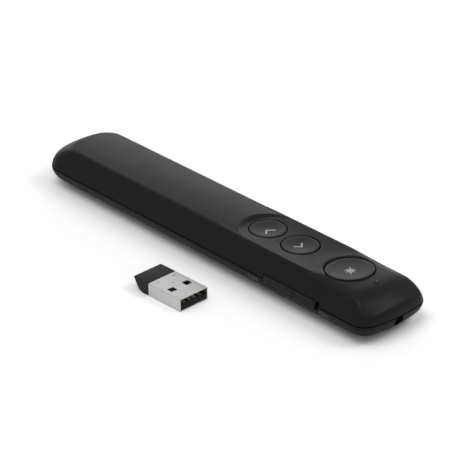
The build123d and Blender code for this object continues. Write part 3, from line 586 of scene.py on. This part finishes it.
def turned(profile, x):
    """A closed profile of (radius, height) turned round an upright axis at x on the centre line."""
    mesh = bmesh.new()
    verts = [mesh.verts.new((x + radius, 0, height)) for radius, height in profile]
    edges = [mesh.edges.new(pair) for pair in zip(verts, verts[1:])]
    bmesh.ops.spin(
        mesh, geom=verts + edges, cent=(x, 0, 0), axis=(0, 0, 1), angle=2 * pi, steps=TURN_STEPS,
        use_merge=True,
    )
    bmesh.ops.remove_doubles(mesh, verts=mesh.verts, dist=0.002)
    bmesh.ops.recalc_face_normals(mesh, faces=mesh.faces)
    return mesh


def dish(distance, rim):
    """Height of the dish below its rim at a distance from its middle."""
    return 0.0 if distance >= rim else -DISH_DEPTH * (1 - (distance / rim) ** 2)


def cap_profile(radius, top, flange_top):
    """Half of a cap's outline, from the middle of its dish to the foot of its stem."""
    rim = radius - CAP_RIM
    profile = [(0.0, top + dish(0, rim))]
    profile += [(step * rim / 10, top + dish(step * rim / 10, rim)) for step in range(1, 11)]
    profile += [(radius - CAP_FLAT, top)]
    for step in range(7):
        angle = step * pi / 12
        across = radius - CAP_ROUNDING + CAP_ROUNDING * sin(angle)
        profile.append((across, top - CAP_ROUNDING + CAP_ROUNDING * cos(angle)))
    flange_radius = radius + FLANGE_REACH
    flange_bottom = flange_top - FLANGE_THICKNESS
    profile += [(radius, flange_top), (flange_radius, flange_top), (flange_radius, flange_bottom)]
    profile += [(STEM_RADIUS, flange_bottom), (STEM_RADIUS, STEM_BOTTOM), (0.0, STEM_BOTTOM)]
    return profile


def stroke(mesh, points, width):
    """A flat printed stroke along a bent line, with square ends."""
    half = width / 2
    line = [Vector(point) for point in points]
    steps = [finish - start for start, finish in zip(line, line[1:])]
    sides = []
    for point, behind, ahead in zip(line, steps[:1] + steps, steps + steps[-1:]):
        ahead, behind = ahead.normalized(), behind.normalized()
        middle = (ahead + behind).normalized()
        across = Vector((-middle.y, middle.x)) * half / max(middle.dot(ahead), 0.3)
        sides.append((point + across, point - across))
    for (left, right), (next_left, next_right) in zip(sides, sides[1:]):
        corners = [mesh.verts.new((*corner, 0)) for corner in (right, next_right, next_left, left)]
        mesh.faces.new(corners)


def sun(mesh, x, y, rays):
    """A printed sun: a small disc with pointed rays, each (angle, length)."""
    disc_place = Matrix.Translation((x, y, 0))
    bmesh.ops.create_circle(mesh, cap_ends=True, segments=16, radius=SUN_RADIUS, matrix=disc_place)
    for angle, length in rays:
        along = Vector((cos(angle), sin(angle)))
        across = Vector((-along.y, along.x)) * RAY_HALF_WIDTH
        middle = Vector((x, y))
        foot = middle + along * RAY_FOOT
        points = (foot - across, middle + along * length, foot + across)
        mesh.faces.new([mesh.verts.new((*point, 0)) for point in points])


def printed_cap(name, x, radius, proud, mark):
    """A cap with its mark, a film of paint that follows the dish."""
    top = SCOOP_FLOOR + scoop_lift(x) + proud
    cap = turned(cap_profile(radius, top, FLANGE_TOP + scoop_lift(x)), x)
    for step in range(int(-radius * CUTS_PER_MM), int(radius * CUTS_PER_MM)):
        for normal in ((1, 0, 0), (0, 1, 0)):
            place = Vector((x, 0, 0)) + Vector(normal) * step / CUTS_PER_MM
            whole = mark.verts[:] + mark.edges[:] + mark.faces[:]
            bmesh.ops.bisect_plane(mark, geom=whole, plane_co=place, plane_no=normal)
    for vert in mark.verts:
        distance = Vector((vert.co.x - x, vert.co.y)).length
        vert.co.z = top + dish(distance, radius - CAP_RIM) + PRINT_PROUD
    thicken(mark, (0, 0, -FILM_DEPTH))
    for face in mark.faces:
        face.material_index = 1
    film = bpy.data.meshes.new("in_work")
    mark.to_mesh(film)
    mark.free()
    cap.from_mesh(film)
    bpy.data.meshes.remove(film)
    if name == "laser":
        for vert in cap.verts:
            if vert.co.z > top - CAP_RIM:
                vert.co.z += (vert.co.x - x) * LASER_TILT
    finish_piece(
        cap, f"{name}_cap", f"{name}_button", f"{name}_button", [button_plastic, printed_paint]
    )


button_plastic = moulded_plastic("button_plastic", (0.0175, 0.0175, 0.018), 0.38)
printed_paint = moulded_plastic("printed_paint", (0.42, 0.42, 0.42), 0.5, 5000, 0.000003, 0.08)
mark = bmesh.new()
stroke(mark, PREVIOUS_MARK, STROKE_WIDTH)
printed_cap("previous", PREVIOUS_X, SMALL_RADIUS, 0.15, mark)
mark = bmesh.new()
stroke(mark, NEXT_MARK, STROKE_WIDTH)
printed_cap("next", NEXT_X, SMALL_RADIUS, 0.15, mark)
mark = bmesh.new()
rays = [(radians(RAY_TURN + step * 45), SHORT_RAY if step % 4 else LONG_RAY) for step in range(RAY_COUNT)]
sun(mark, *SUN_PLACE, rays)
printed_cap("laser", LASER_X, LARGE_RADIUS, -0.25, mark)


# ---------------------------------------------------------------- top casing
# The slant-sided upper half, from the same grained plastic. A shallow thumb recess runs under the
# buttons from a curved step at its tail end, and its round holes have a thin broken edge.
ROOF = 15.0
ROOF_HALF_WIDTH = 10.5
TAIL_SLOPE = 8.5
NOSE_SLOPE, NOSE_BEND = 6.5, 2.6
ROOF_TAIL_ARC, ROOF_TAIL_CORNER = 34, 6.2
ROOF_NOSE_ARC, ROOF_NOSE_CORNER = 60, 4
EDGE_RADIUS = 2.2
# The height at which the sides, tail and nose turn into the rounded edge, and the middle of its arc.
SIDE_TURN, SIDE_MIDDLE = 13.822, 9.17
TAIL_TURN, TAIL_MIDDLE = 14.77, 71.24
NOSE_TURN, NOSE_MIDDLE = 14.763, 73.233
# The side walls lean in by this angle. An edge rounded onto them starts and ends at these shares of
# its radius, and the wall falls by this much for each millimetre outwards.
WALL_ANGLE = radians(27.67)
EDGE_START, EDGE_END, WALL_FALL = 0.604, 0.886, 1.907
CRISP_RADIUS, NOSE_EDGE_RADIUS = 0.9, 5.5
CRISP_FROM, CRISP_OVER = 6, 10
WIDE_FROM, WIDE_OVER = 47, 18
ROLL_FROM, ROLL_SWEEP, ROLL_WIDTH = 69.0, 0.02, 24
CROWN, CROWN_FROM, CROWN_OVER = 0.4, 13.5, 1.5
FIRST_RING, LAST_RING = 7.05, 13.82
SHAPED_FROM = 9
EDGE_FROM, NOSE_FROM = 13, 60
BLEND_FROM, BLEND_OVER = 8, 5
EDGE_SOFTNESS, NOSE_SOFTNESS, RECESS_SOFTNESS = 0.3, 0.8, 0.06
TROUGH_RADIUS = 115
STEP_X, STEP_RADIUS = 22.9, 9.6
STEP_CLIMB, STEP_RUN = 0.85, 1.4
RECESS_WALL = 1.35
SCREW_POST_RADIUS = 2.2
LIGHT_POST = ((69.2, -0.8, 12.8), (70.8, 0.8, 14))
LIGHT_X, LIGHT_HOLE_RADIUS = 70, 0.75
# Each button's hole: its place, the cap's radius, the gap round it and the width of its broken edge.
BUTTONS = (
    (PREVIOUS_X, SMALL_RADIUS, 0.30, 0.35),
    (NEXT_X, SMALL_RADIUS, 0.38, 0.35),
    (LASER_X, LARGE_RADIUS, 0.45, 0.6),
)
# Stations along the straight sides, which run from x = -65 to 69. They lie closest at the step.
FINE = sorted(
    [(x + 65) / 134 for x in range(-65, 8, 3)]
    + [(8 + x * 0.4 + 65) / 134 for x in range(46)]
    + [(27 + x + 65) / 134 for x in range(42)]
    + [1.0]
)


def rounded_in(height, centre):
    """How far a rounded top edge stands out beyond the middle of its radius at a height."""
    return centre + sqrt(max(EDGE_RADIUS**2 - (height - ROOF + EDGE_RADIUS) ** 2, 0))


def top_ends(tail, nose, share, inset):
    """Both ends of a loop of the upper half. share runs from 0 at the seam to 1 at the roof."""
    tail_corner = max(between(TAIL_CORNER, ROOF_TAIL_CORNER, share) - inset, LEAST_CORNER)
    nose_corner = max(between(NOSE_CORNER, ROOF_NOSE_CORNER, share) - inset, LEAST_CORNER)
    tail_end = (tail + inset, between(TAIL_ARC, ROOF_TAIL_ARC, share) - inset, tail_corner)
    nose_end = (nose - inset, between(NOSE_ARC, ROOF_NOSE_ARC, share) - inset, nose_corner)
    return tail_end, nose_end


def top_loop(mesh, height, inset=0.0, at=None, stations=FINE):
    """One loop of the slanted upper half, with its rounded top edge."""
    share = (height - SEAM_HEIGHT) / RISE
    slanted = between(SEAM_HALF_WIDTH, ROOF_HALF_WIDTH, share)
    half_width = slanted if height < SIDE_TURN else rounded_in(height, SIDE_MIDDLE)
    tail = TAIL_X + TAIL_SLOPE * share**2 if height < TAIL_TURN else -rounded_in(height, TAIL_MIDDLE)
    nose = NOSE_X - NOSE_SLOPE * share**NOSE_BEND if height < NOSE_TURN else rounded_in(height, NOSE_MIDDLE)
    height = height if at is None else at
    return loop_round(mesh, height, half_width - inset, *top_ends(tail, nose, share, inset), stations)


def close_over(mesh, edges, steps):
    """Closes a loop with rings that shrink to a line along the middle."""
    for step in range(steps):
        verts = {vert for edge in edges for vert in edge.verts}
        width = max(vert.co.y for vert in verts)
        length = max(vert.co.x for vert in verts) - min(vert.co.x for vert in verts)
        middle = (max(vert.co.x for vert in verts) + min(vert.co.x for vert in verts)) / 2
        share = 1 - 1 / (steps - step)
        grown = bmesh.ops.extrude_edge_only(mesh, edges=edges)["geom"]
        verts = [part for part in grown if isinstance(part, bmesh.types.BMVert)]
        edges = [part for part in grown if isinstance(part, bmesh.types.BMEdge)]
        stretch = (length - 2 * width * (1 - share)) / length
        centre = Matrix.Translation((-middle, 0, 0))
        bmesh.ops.scale(mesh, vec=(stretch, share, 1), space=centre, verts=verts)
    bmesh.ops.remove_doubles(mesh, verts=verts, dist=0.001)


def smooth_least(first, second, softness):
    """The lower of two heights, rounded where they cross."""
    share = max(softness - abs(first - second), 0) / softness
    return min(first, second) - share**2 * softness / 4


def scoop_height(x, y):
    """Height of the thumb recess, also beyond its edges where it lies above the roof."""
    trough = SCOOP_FLOOR + TROUGH_RADIUS - sqrt(TROUGH_RADIUS**2 - y**2)
    floor = SCOOP_FLOOR + scoop_lift(x)
    height = -smooth_least(-trough, -floor, 0.1)
    distance = sqrt(min(x - STEP_X, 0) ** 2 + y**2)
    if x < STEP_X:
        climb = SCOOP_FLOOR + (distance - STEP_RADIUS) * STEP_CLIMB / STEP_RUN
        height = -smooth_least(-height, -climb, 0.3)
    return height


def top_edge_radius(x):
    """The long edge is crisp beside the recess and rolls off widely towards the nose."""
    into = min(max((x - CRISP_FROM) / CRISP_OVER, 0), 1)
    out_of = min(max((x - WIDE_FROM) / WIDE_OVER, 0), 1)
    crisp = between(EDGE_RADIUS, CRISP_RADIUS, into * into * (3 - 2 * into))
    return between(crisp, NOSE_EDGE_RADIUS, out_of * out_of * (3 - 2 * out_of))


def edge_height(x, y):
    """Height of the roof with its long edges rounded down to the slanted walls."""
    radius = top_edge_radius(x)
    over = max(EDGE_START * radius - ROOF_HALF_WIDTH + abs(y), 0)
    bend = min(over, EDGE_END * radius)
    return ROOF - radius + sqrt(radius**2 - bend**2) - (over - bend) * WALL_FALL


def nose_height(x, y):
    """Height of the roll-off over the nose, which starts a little earlier towards the corners."""
    return ROOF - max(x - ROLL_FROM + y**2 * ROLL_SWEEP, 0) ** 2 / ROLL_WIDTH


def roof_height(x, y, height):
    """Height of a place on the plain roof once its edges, nose, crown and thumb recess are shaped."""
    edge = edge_height(x, y)
    if 0 < x < NOSE_FROM and height > EDGE_FROM:
        height = edge
    elif x > 0:
        share = min((height - BLEND_FROM) / BLEND_OVER, 1)
        lower = smooth_least(height, edge, EDGE_SOFTNESS)
        lower = smooth_least(lower, nose_height(x, y), NOSE_SOFTNESS)
        height += (lower - height) * share**2 * (3 - 2 * share)
    height -= CROWN * min(abs(y) / SIDE_MIDDLE, 1) ** 2 * min(max(height - CROWN_FROM, 0) / CROWN_OVER, 1)
    return smooth_least(height, scoop_height(x, y), RECESS_SOFTNESS)


def top_solid():
    """The outside of the upper half as a full solid, with its half of the shadow line."""
    mesh = bmesh.new()
    loops = [top_loop(mesh, SEAM_HEIGHT, GROOVE_DEPTH)]
    loops.append(top_loop(mesh, SEAM_HEIGHT, GROOVE_DEPTH, SEAM_HEIGHT + GROOVE_HALF))
    loops.append(top_loop(mesh, SEAM_HEIGHT + GROOVE_HALF, GROOVE_EDGE))
    loops += [top_loop(mesh, between(FIRST_RING, LAST_RING, step / 9)) for step in range(10)]
    for step in range(1, 10):
        angle = between(WALL_ANGLE, pi / 2, step / 9)
        loops.append(top_loop(mesh, ROOF - EDGE_RADIUS + EDGE_RADIUS * sin(angle)))
    join_loops(mesh, loops)
    close_over(mesh, [edge for edge in loops[-1] if edge.is_valid], 22)
    for vert in mesh.verts:
        if vert.co.z > SHAPED_FROM:
            vert.co.z = roof_height(*vert.co)
    fill_loops(mesh, loops[:1])
    return mesh


# There is no recess behind the buttons, so the ceiling cuts 0.3 mm into the laser button's flange.
def top_hollow():
    """The room inside the upper half, a little lower than the seam so that it cuts through."""
    mesh = bmesh.new()
    loops = [top_loop(mesh, SEAM_HEIGHT, WALL, SEAM_HEIGHT - PAST_SEAM, COARSE)]
    for share in (0, 0.25, 0.5, 0.75, 1):
        tail, nose = TAIL_X + TAIL_SLOPE * share**2, NOSE_X - NOSE_SLOPE * share**NOSE_BEND
        height = SEAM_HEIGHT + share * (RISE - WALL)
        half_width = between(SEAM_HALF_WIDTH, ROOF_HALF_WIDTH, share) - WALL
        loops.append(loop_round(mesh, height, half_width, *top_ends(tail, nose, share, WALL), COARSE))
    join_loops(mesh, loops)
    close_over(mesh, [edge for edge in loops[-1] if edge.is_valid], 8)
    for vert in mesh.verts:
        if vert.co.z > 12:
            vert.co.z = min(vert.co.z, scoop_height(vert.co.x, vert.co.y) - RECESS_WALL)
    fill_loops(mesh, loops[:1])
    return mesh


def button_hole(x, radius, gap, rim):
    """A cutter for a button's hole, whose broken edge follows the recess."""
    wide = radius + gap
    profile = [(0, 9.5), (wide, 9.5)]
    for step in range(7):
        angle = radians(step * 13)
        profile.append((wide + rim * (1 - cos(angle)), rim * (sin(angle) - 1)))
    profile += [(wide + rim + 1, 0.2), (wide + rim + 1, 0.9), (0, 0.9)]
    hole = turned(profile, x)
    for vert in hole.verts:
        if vert.co.z < 5:
            vert.co.z += scoop_height(vert.co.x, vert.co.y)
    bmesh.ops.recalc_face_normals(hole, faces=hole.faces)
    return hole


room = top_hollow()
for x, y in CASE_SCREWS:
    room = combine(room, pin(SCREW_POST_RADIUS, (x, y, 6), (x, y, 14)))
room = combine(room, block(*LIGHT_POST))
top = combine(top_solid(), room)
for x, y in CASE_SCREWS:
    top = combine(top, pin(PILOT_RADIUS, (x, y, 6), (x, y, 10.93)))
for button in BUTTONS:
    top = combine(top, button_hole(*button))
top = combine(top, pin(LIGHT_HOLE_RADIUS, (LIGHT_X, 0, 11), (LIGHT_X, 0, 16), 32))
top = combine(top, block(*SWITCH_WINDOW))
top = combine(top, laser_bore(WINDOW_RADIUS, 75.2, 82))
finish_piece(top, "top_casing", "upper_shell", "housing", [casing_plastic])


# ---------------------------------------------------------------- screws
# Zinc-plated cross-head screws. Four go up from deep under the bottom casing and close the case,
# and four hold the board up to the top casing, whose posts for them aren't modelled.
screw_zinc = plated_metal("screw_zinc", (0.55, 0.55, 0.54), 0.34, 1600)
dress("case_screws", screw_zinc)
dress("board_screws", screw_zinc)


# ---------------------------------------------------------------- battery cover
# The missing strip of the bottom, moulded in the same plastic. Four tabs hold it on the shelves
# beside the battery, and six finger grooves near its nose end push it off towards the tail.
# The tabs aren't cut to the hull: their lower edges stand up to 0.65 mm inside the bottom casing.
COVER_NOSE = -12.15
COVER_STRIP = ((-82, -5.85, -1), (COVER_NOSE, 5.85, 2.45))
COVER_TABS = (-50.65, -18.65)
TAB_INSIDE, TAB_OUTSIDE = 3.06, 7.4
TAB_HALF_LENGTH, TAB_BOTTOM, TAB_TOP = 2, 1.0, 2.4
GRIP_COUNT, GRIP_PITCH, GRIPS_BEHIND_NOSE = 6, 1.3, 9
GRIP_LENGTH, GRIP_HALF_WIDTH, GRIP_DEPTH = 0.5, 3.5, 0.3

cover = combine(hull_solid(), hull_hollow())
cover = combine(cover, block(*COVER_STRIP), "INTERSECT")
for x in COVER_TABS:
    for side in (-1, 1):
        low, high = sorted((side * TAB_INSIDE, side * TAB_OUTSIDE))
        tab = block((x - TAB_HALF_LENGTH, low, TAB_BOTTOM), (x + TAB_HALF_LENGTH, high, TAB_TOP))
        cover = combine(cover, tab, "UNION")
for step in range(GRIP_COUNT):
    x = COVER_NOSE - GRIPS_BEHIND_NOSE + step * GRIP_PITCH
    cover = combine(cover, block((x, -GRIP_HALF_WIDTH, -1), (x + GRIP_LENGTH, GRIP_HALF_WIDTH, GRIP_DEPTH)))
finish_piece(cover, "cover_door", "battery_cover", "battery_cover", [casing_plastic])


# ---------------------------------------------------------------- receiver
# A small radio receiver on a folded, nickel-plated steel plug with two square latch holes, and a
# moulded black cap with an undercut for the finger nail. It lies loose beside the presenter.
RECEIVER_PLACE = Matrix.Translation((16.5, -34.5, 0)) @ Matrix.Rotation(radians(2.3), 4, "Z")
MOUTH, HEEL = 7.3, -7.3
PLUG_HALF_WIDTH, PLUG_HEIGHT = 6, 4.5
LATCH_HOLES = (-3.2, 3.2)
DENTS = ((HEEL + 1.9, -3.35), (HEEL + 1.9, 3.35), (HEEL + 4.9, 0))
HEEL_FOOT, HEEL_TOP, HEEL_ROUNDING = 4.4, 7.1, 2.0
CAP_HALF_WIDTH = 5.98
CAP_NECK = ((-8.3, -5.67, 0.33), (-5.8, 5.67, 4.17))
CAP_ROOM = ((-11.3, -4.8, 1.1), (-4.8, 4.8, 3.4))


def tube(tail, nose, half_width, low, high, corner):
    """A bar with rounded long edges."""
    mesh = block((tail, -half_width, low), (nose, half_width, high))
    long_edges = [edge for edge in mesh.edges if abs(edge.verts[0].co.x - edge.verts[1].co.x) > 1]
    bmesh.ops.bevel(
        mesh, geom=long_edges, offset=corner, offset_type="OFFSET", segments=5, profile=0.5,
        affect="EDGES", material=-1,
    )
    return mesh


def soften(mesh, edges, offset, segments):
    bmesh.ops.bevel(
        mesh, geom=edges, offset=offset, offset_type="OFFSET", segments=segments, profile=0.5,
        affect="EDGES", material=-1,
    )


plug_plating = plated_metal("plug_plating", (0.93, 0.93, 0.92), 0.42, 500, (0.3, 2, 2), 0.0000008)
outer_tube = tube(tail=HEEL, nose=MOUTH, half_width=PLUG_HALF_WIDTH, low=0, high=PLUG_HEIGHT, corner=0.45)
inner_tube = tube(tail=HEEL - 1, nose=MOUTH + 1, half_width=5.7, low=0.3, high=4.2, corner=0.15)
plug = combine(outer_tube, inner_tube)
for y in LATCH_HOLES:
    hole = block((MOUTH - 7.7, y - 1.25, -1), (MOUTH - 5.3, y + 1.25, 6))
    upright = [edge for edge in hole.edges if abs(edge.verts[0].co.z - edge.verts[1].co.z) > 1]
    soften(hole, upright, 0.25, 3)
    plug = combine(plug, hole)
for x, y in DENTS:
    plug = combine(plug, block((x - 0.28, y - 0.7, 4.24), (x + 0.28, y + 0.7, 6)))
    plug = combine(plug, block((x - 0.15, y - 0.6, 4), (x + 0.15, y + 0.6, 6)))
bmesh.ops.transform(plug, matrix=RECEIVER_PLACE, verts=plug.verts)
finish_piece(plug, "plug_tube", "receiver_shell", "receiver", [plug_plating])

cap_plastic = moulded_plastic("cap_plastic", (0.026, 0.026, 0.0265), 0.36, 3600)
grip = bmesh.new()
outline = [(HEEL, 0.0), (HEEL, PLUG_HEIGHT), (HEEL - HEEL_TOP, PLUG_HEIGHT), (HEEL - HEEL_FOOT, 0.0)]
side = grip.faces.new([grip.verts.new((x, -CAP_HALF_WIDTH, z)) for x, z in outline])
grown = bmesh.ops.extrude_face_region(grip, geom=[side])["geom"]
moved = [part for part in grown if isinstance(part, bmesh.types.BMVert)]
bmesh.ops.translate(grip, vec=(0, 2 * CAP_HALF_WIDTH, 0), verts=moved)
bmesh.ops.recalc_face_normals(grip, faces=grip.faces)
heel = [
    edge for edge in grip.edges
    if all(abs(vert.co.z) < 0.01 and abs(vert.co.x - HEEL + HEEL_FOOT) < 0.01 for vert in edge.verts)
]
soften(grip, [edge for edge in heel if abs(edge.verts[0].co.y - edge.verts[1].co.y) > 1], HEEL_ROUNDING, 8)
rims = [edge for edge in grip.edges if len(edge.link_faces) == 2 and edge.calc_face_angle() > 0.6]
soften(grip, rims, 0.28, 4)
grip = combine(grip, block(*CAP_NECK), "UNION")
grip = combine(grip, block(*CAP_ROOM))
bmesh.ops.transform(grip, matrix=RECEIVER_PLACE, verts=grip.verts)
finish_piece(grip, "plug_cap", "receiver_cap", "receiver", [cap_plastic])

tongue_plastic = moulded_plastic("tongue_plastic", (0.016, 0.016, 0.017), 0.45, 4000, 0.000004)
finger_gold = plated_metal("finger_gold", (0.88, 0.76, 0.54), 0.42, 1500)
dress("receiver_tongue", tongue_plastic)
dress("receiver_contacts", finger_gold)
dress("receiver_board", board_mask)
dress("receiver_chip", chip_epoxy)


# ---------------------------------------------------------------- floor, lamps and camera
# A white sheet of paper in a bright room, with a wide soft lamp low behind the object and two
# smaller ones high up, one on the near side and one to the right.
FLOOR_GREY = (0.8, 0.8, 0.8, 1)
SEEN_WHITE = (1.45, 1.45, 1.45, 1)
REFLECTED_SHARE = 0.08
ROOM_LIGHT = 0.38

paper, nodes, links, shader = new_material("paper_floor")
nodes.remove(shader)
output = nodes["Material Output"]
rays = nodes.new("ShaderNodeLightPath")
seen = nodes.new("ShaderNodeMath")
seen.operation = "MAXIMUM"
links.new(rays.outputs["Is Camera Ray"], seen.inputs[0])
reflected = nodes.new("ShaderNodeMath")
reflected.operation = "MAXIMUM"
links.new(rays.outputs["Is Glossy Ray"], reflected.inputs[0])
links.new(rays.outputs["Is Transmission Ray"], reflected.inputs[1])
dimmed = nodes.new("ShaderNodeMath")
dimmed.operation = "MULTIPLY"
dimmed.inputs[1].default_value = REFLECTED_SHARE
links.new(reflected.outputs["Value"], dimmed.inputs[0])
links.new(dimmed.outputs["Value"], seen.inputs[1])
tint = nodes.new("ShaderNodeMix")
tint.data_type = "RGBA"
tint.inputs["A"].default_value = FLOOR_GREY
tint.inputs["B"].default_value = SEEN_WHITE
links.new(seen.outputs["Value"], tint.inputs["Factor"])
matt = nodes.new("ShaderNodeBsdfDiffuse")
links.new(tint.outputs["Result"], matt.inputs["Color"])
links.new(matt.outputs["BSDF"], output.inputs["Surface"])
floor_mesh = bmesh.new()
bmesh.ops.create_grid(floor_mesh, x_segments=4, y_segments=4, size=3.0)
floor_data = bpy.data.meshes.new("floor")
floor_mesh.to_mesh(floor_data)
floor_mesh.free()
floor_data.materials.append(paper)
floor_sheet = bpy.data.objects.new("floor", floor_data)
bpy.context.scene.collection.objects.link(floor_sheet)

world = bpy.data.worlds.new("studio")
world.use_nodes = True
bpy.context.scene.world = world
background = world.node_tree.nodes["Background"]
background.inputs["Color"].default_value = (1, 1, 1, 1)
background.inputs["Strength"].default_value = ROOM_LIGHT


def soft_lamp(name, place, target, width, height, power):
    lamp = bpy.data.lights.new(name, "AREA")
    lamp.shape = "RECTANGLE"
    lamp.size = width
    lamp.size_y = height
    lamp.energy = power
    holder = bpy.data.objects.new(name, lamp)
    holder.location = place
    aim = Vector(target) - Vector(place)
    holder.rotation_euler = aim.to_track_quat("-Z", "Y").to_euler()
    holder.visible_camera = False
    bpy.context.scene.collection.objects.link(holder)


soft_lamp("lamp_behind", (-0.65, 0.59, 0.20), (0, 0, 0.02), 1.3, 0.36, 2.2)
soft_lamp("lamp_front", (0.0, -0.27, 0.86), (0, 0, 0), 0.6, 0.6, 2.0)
soft_lamp("lamp_right", (0.43, 0.43, 0.66), (0, 0, 0), 0.36, 0.36, 1.3)

camera_data = bpy.data.cameras.new("camera")
camera_data.lens = 154.714
camera_data.sensor_width = 36
camera_data.clip_start = 0.01
camera = bpy.data.objects.new("camera", camera_data)
camera.location = (0.445281, -0.400512, 0.319422)
camera.rotation_euler = (radians(90 - 27.866), 0, radians(47.601))
bpy.context.scene.collection.objects.link(camera)
bpy.context.scene.camera = camera
bpy.context.scene.view_settings.view_transform = "Standard"
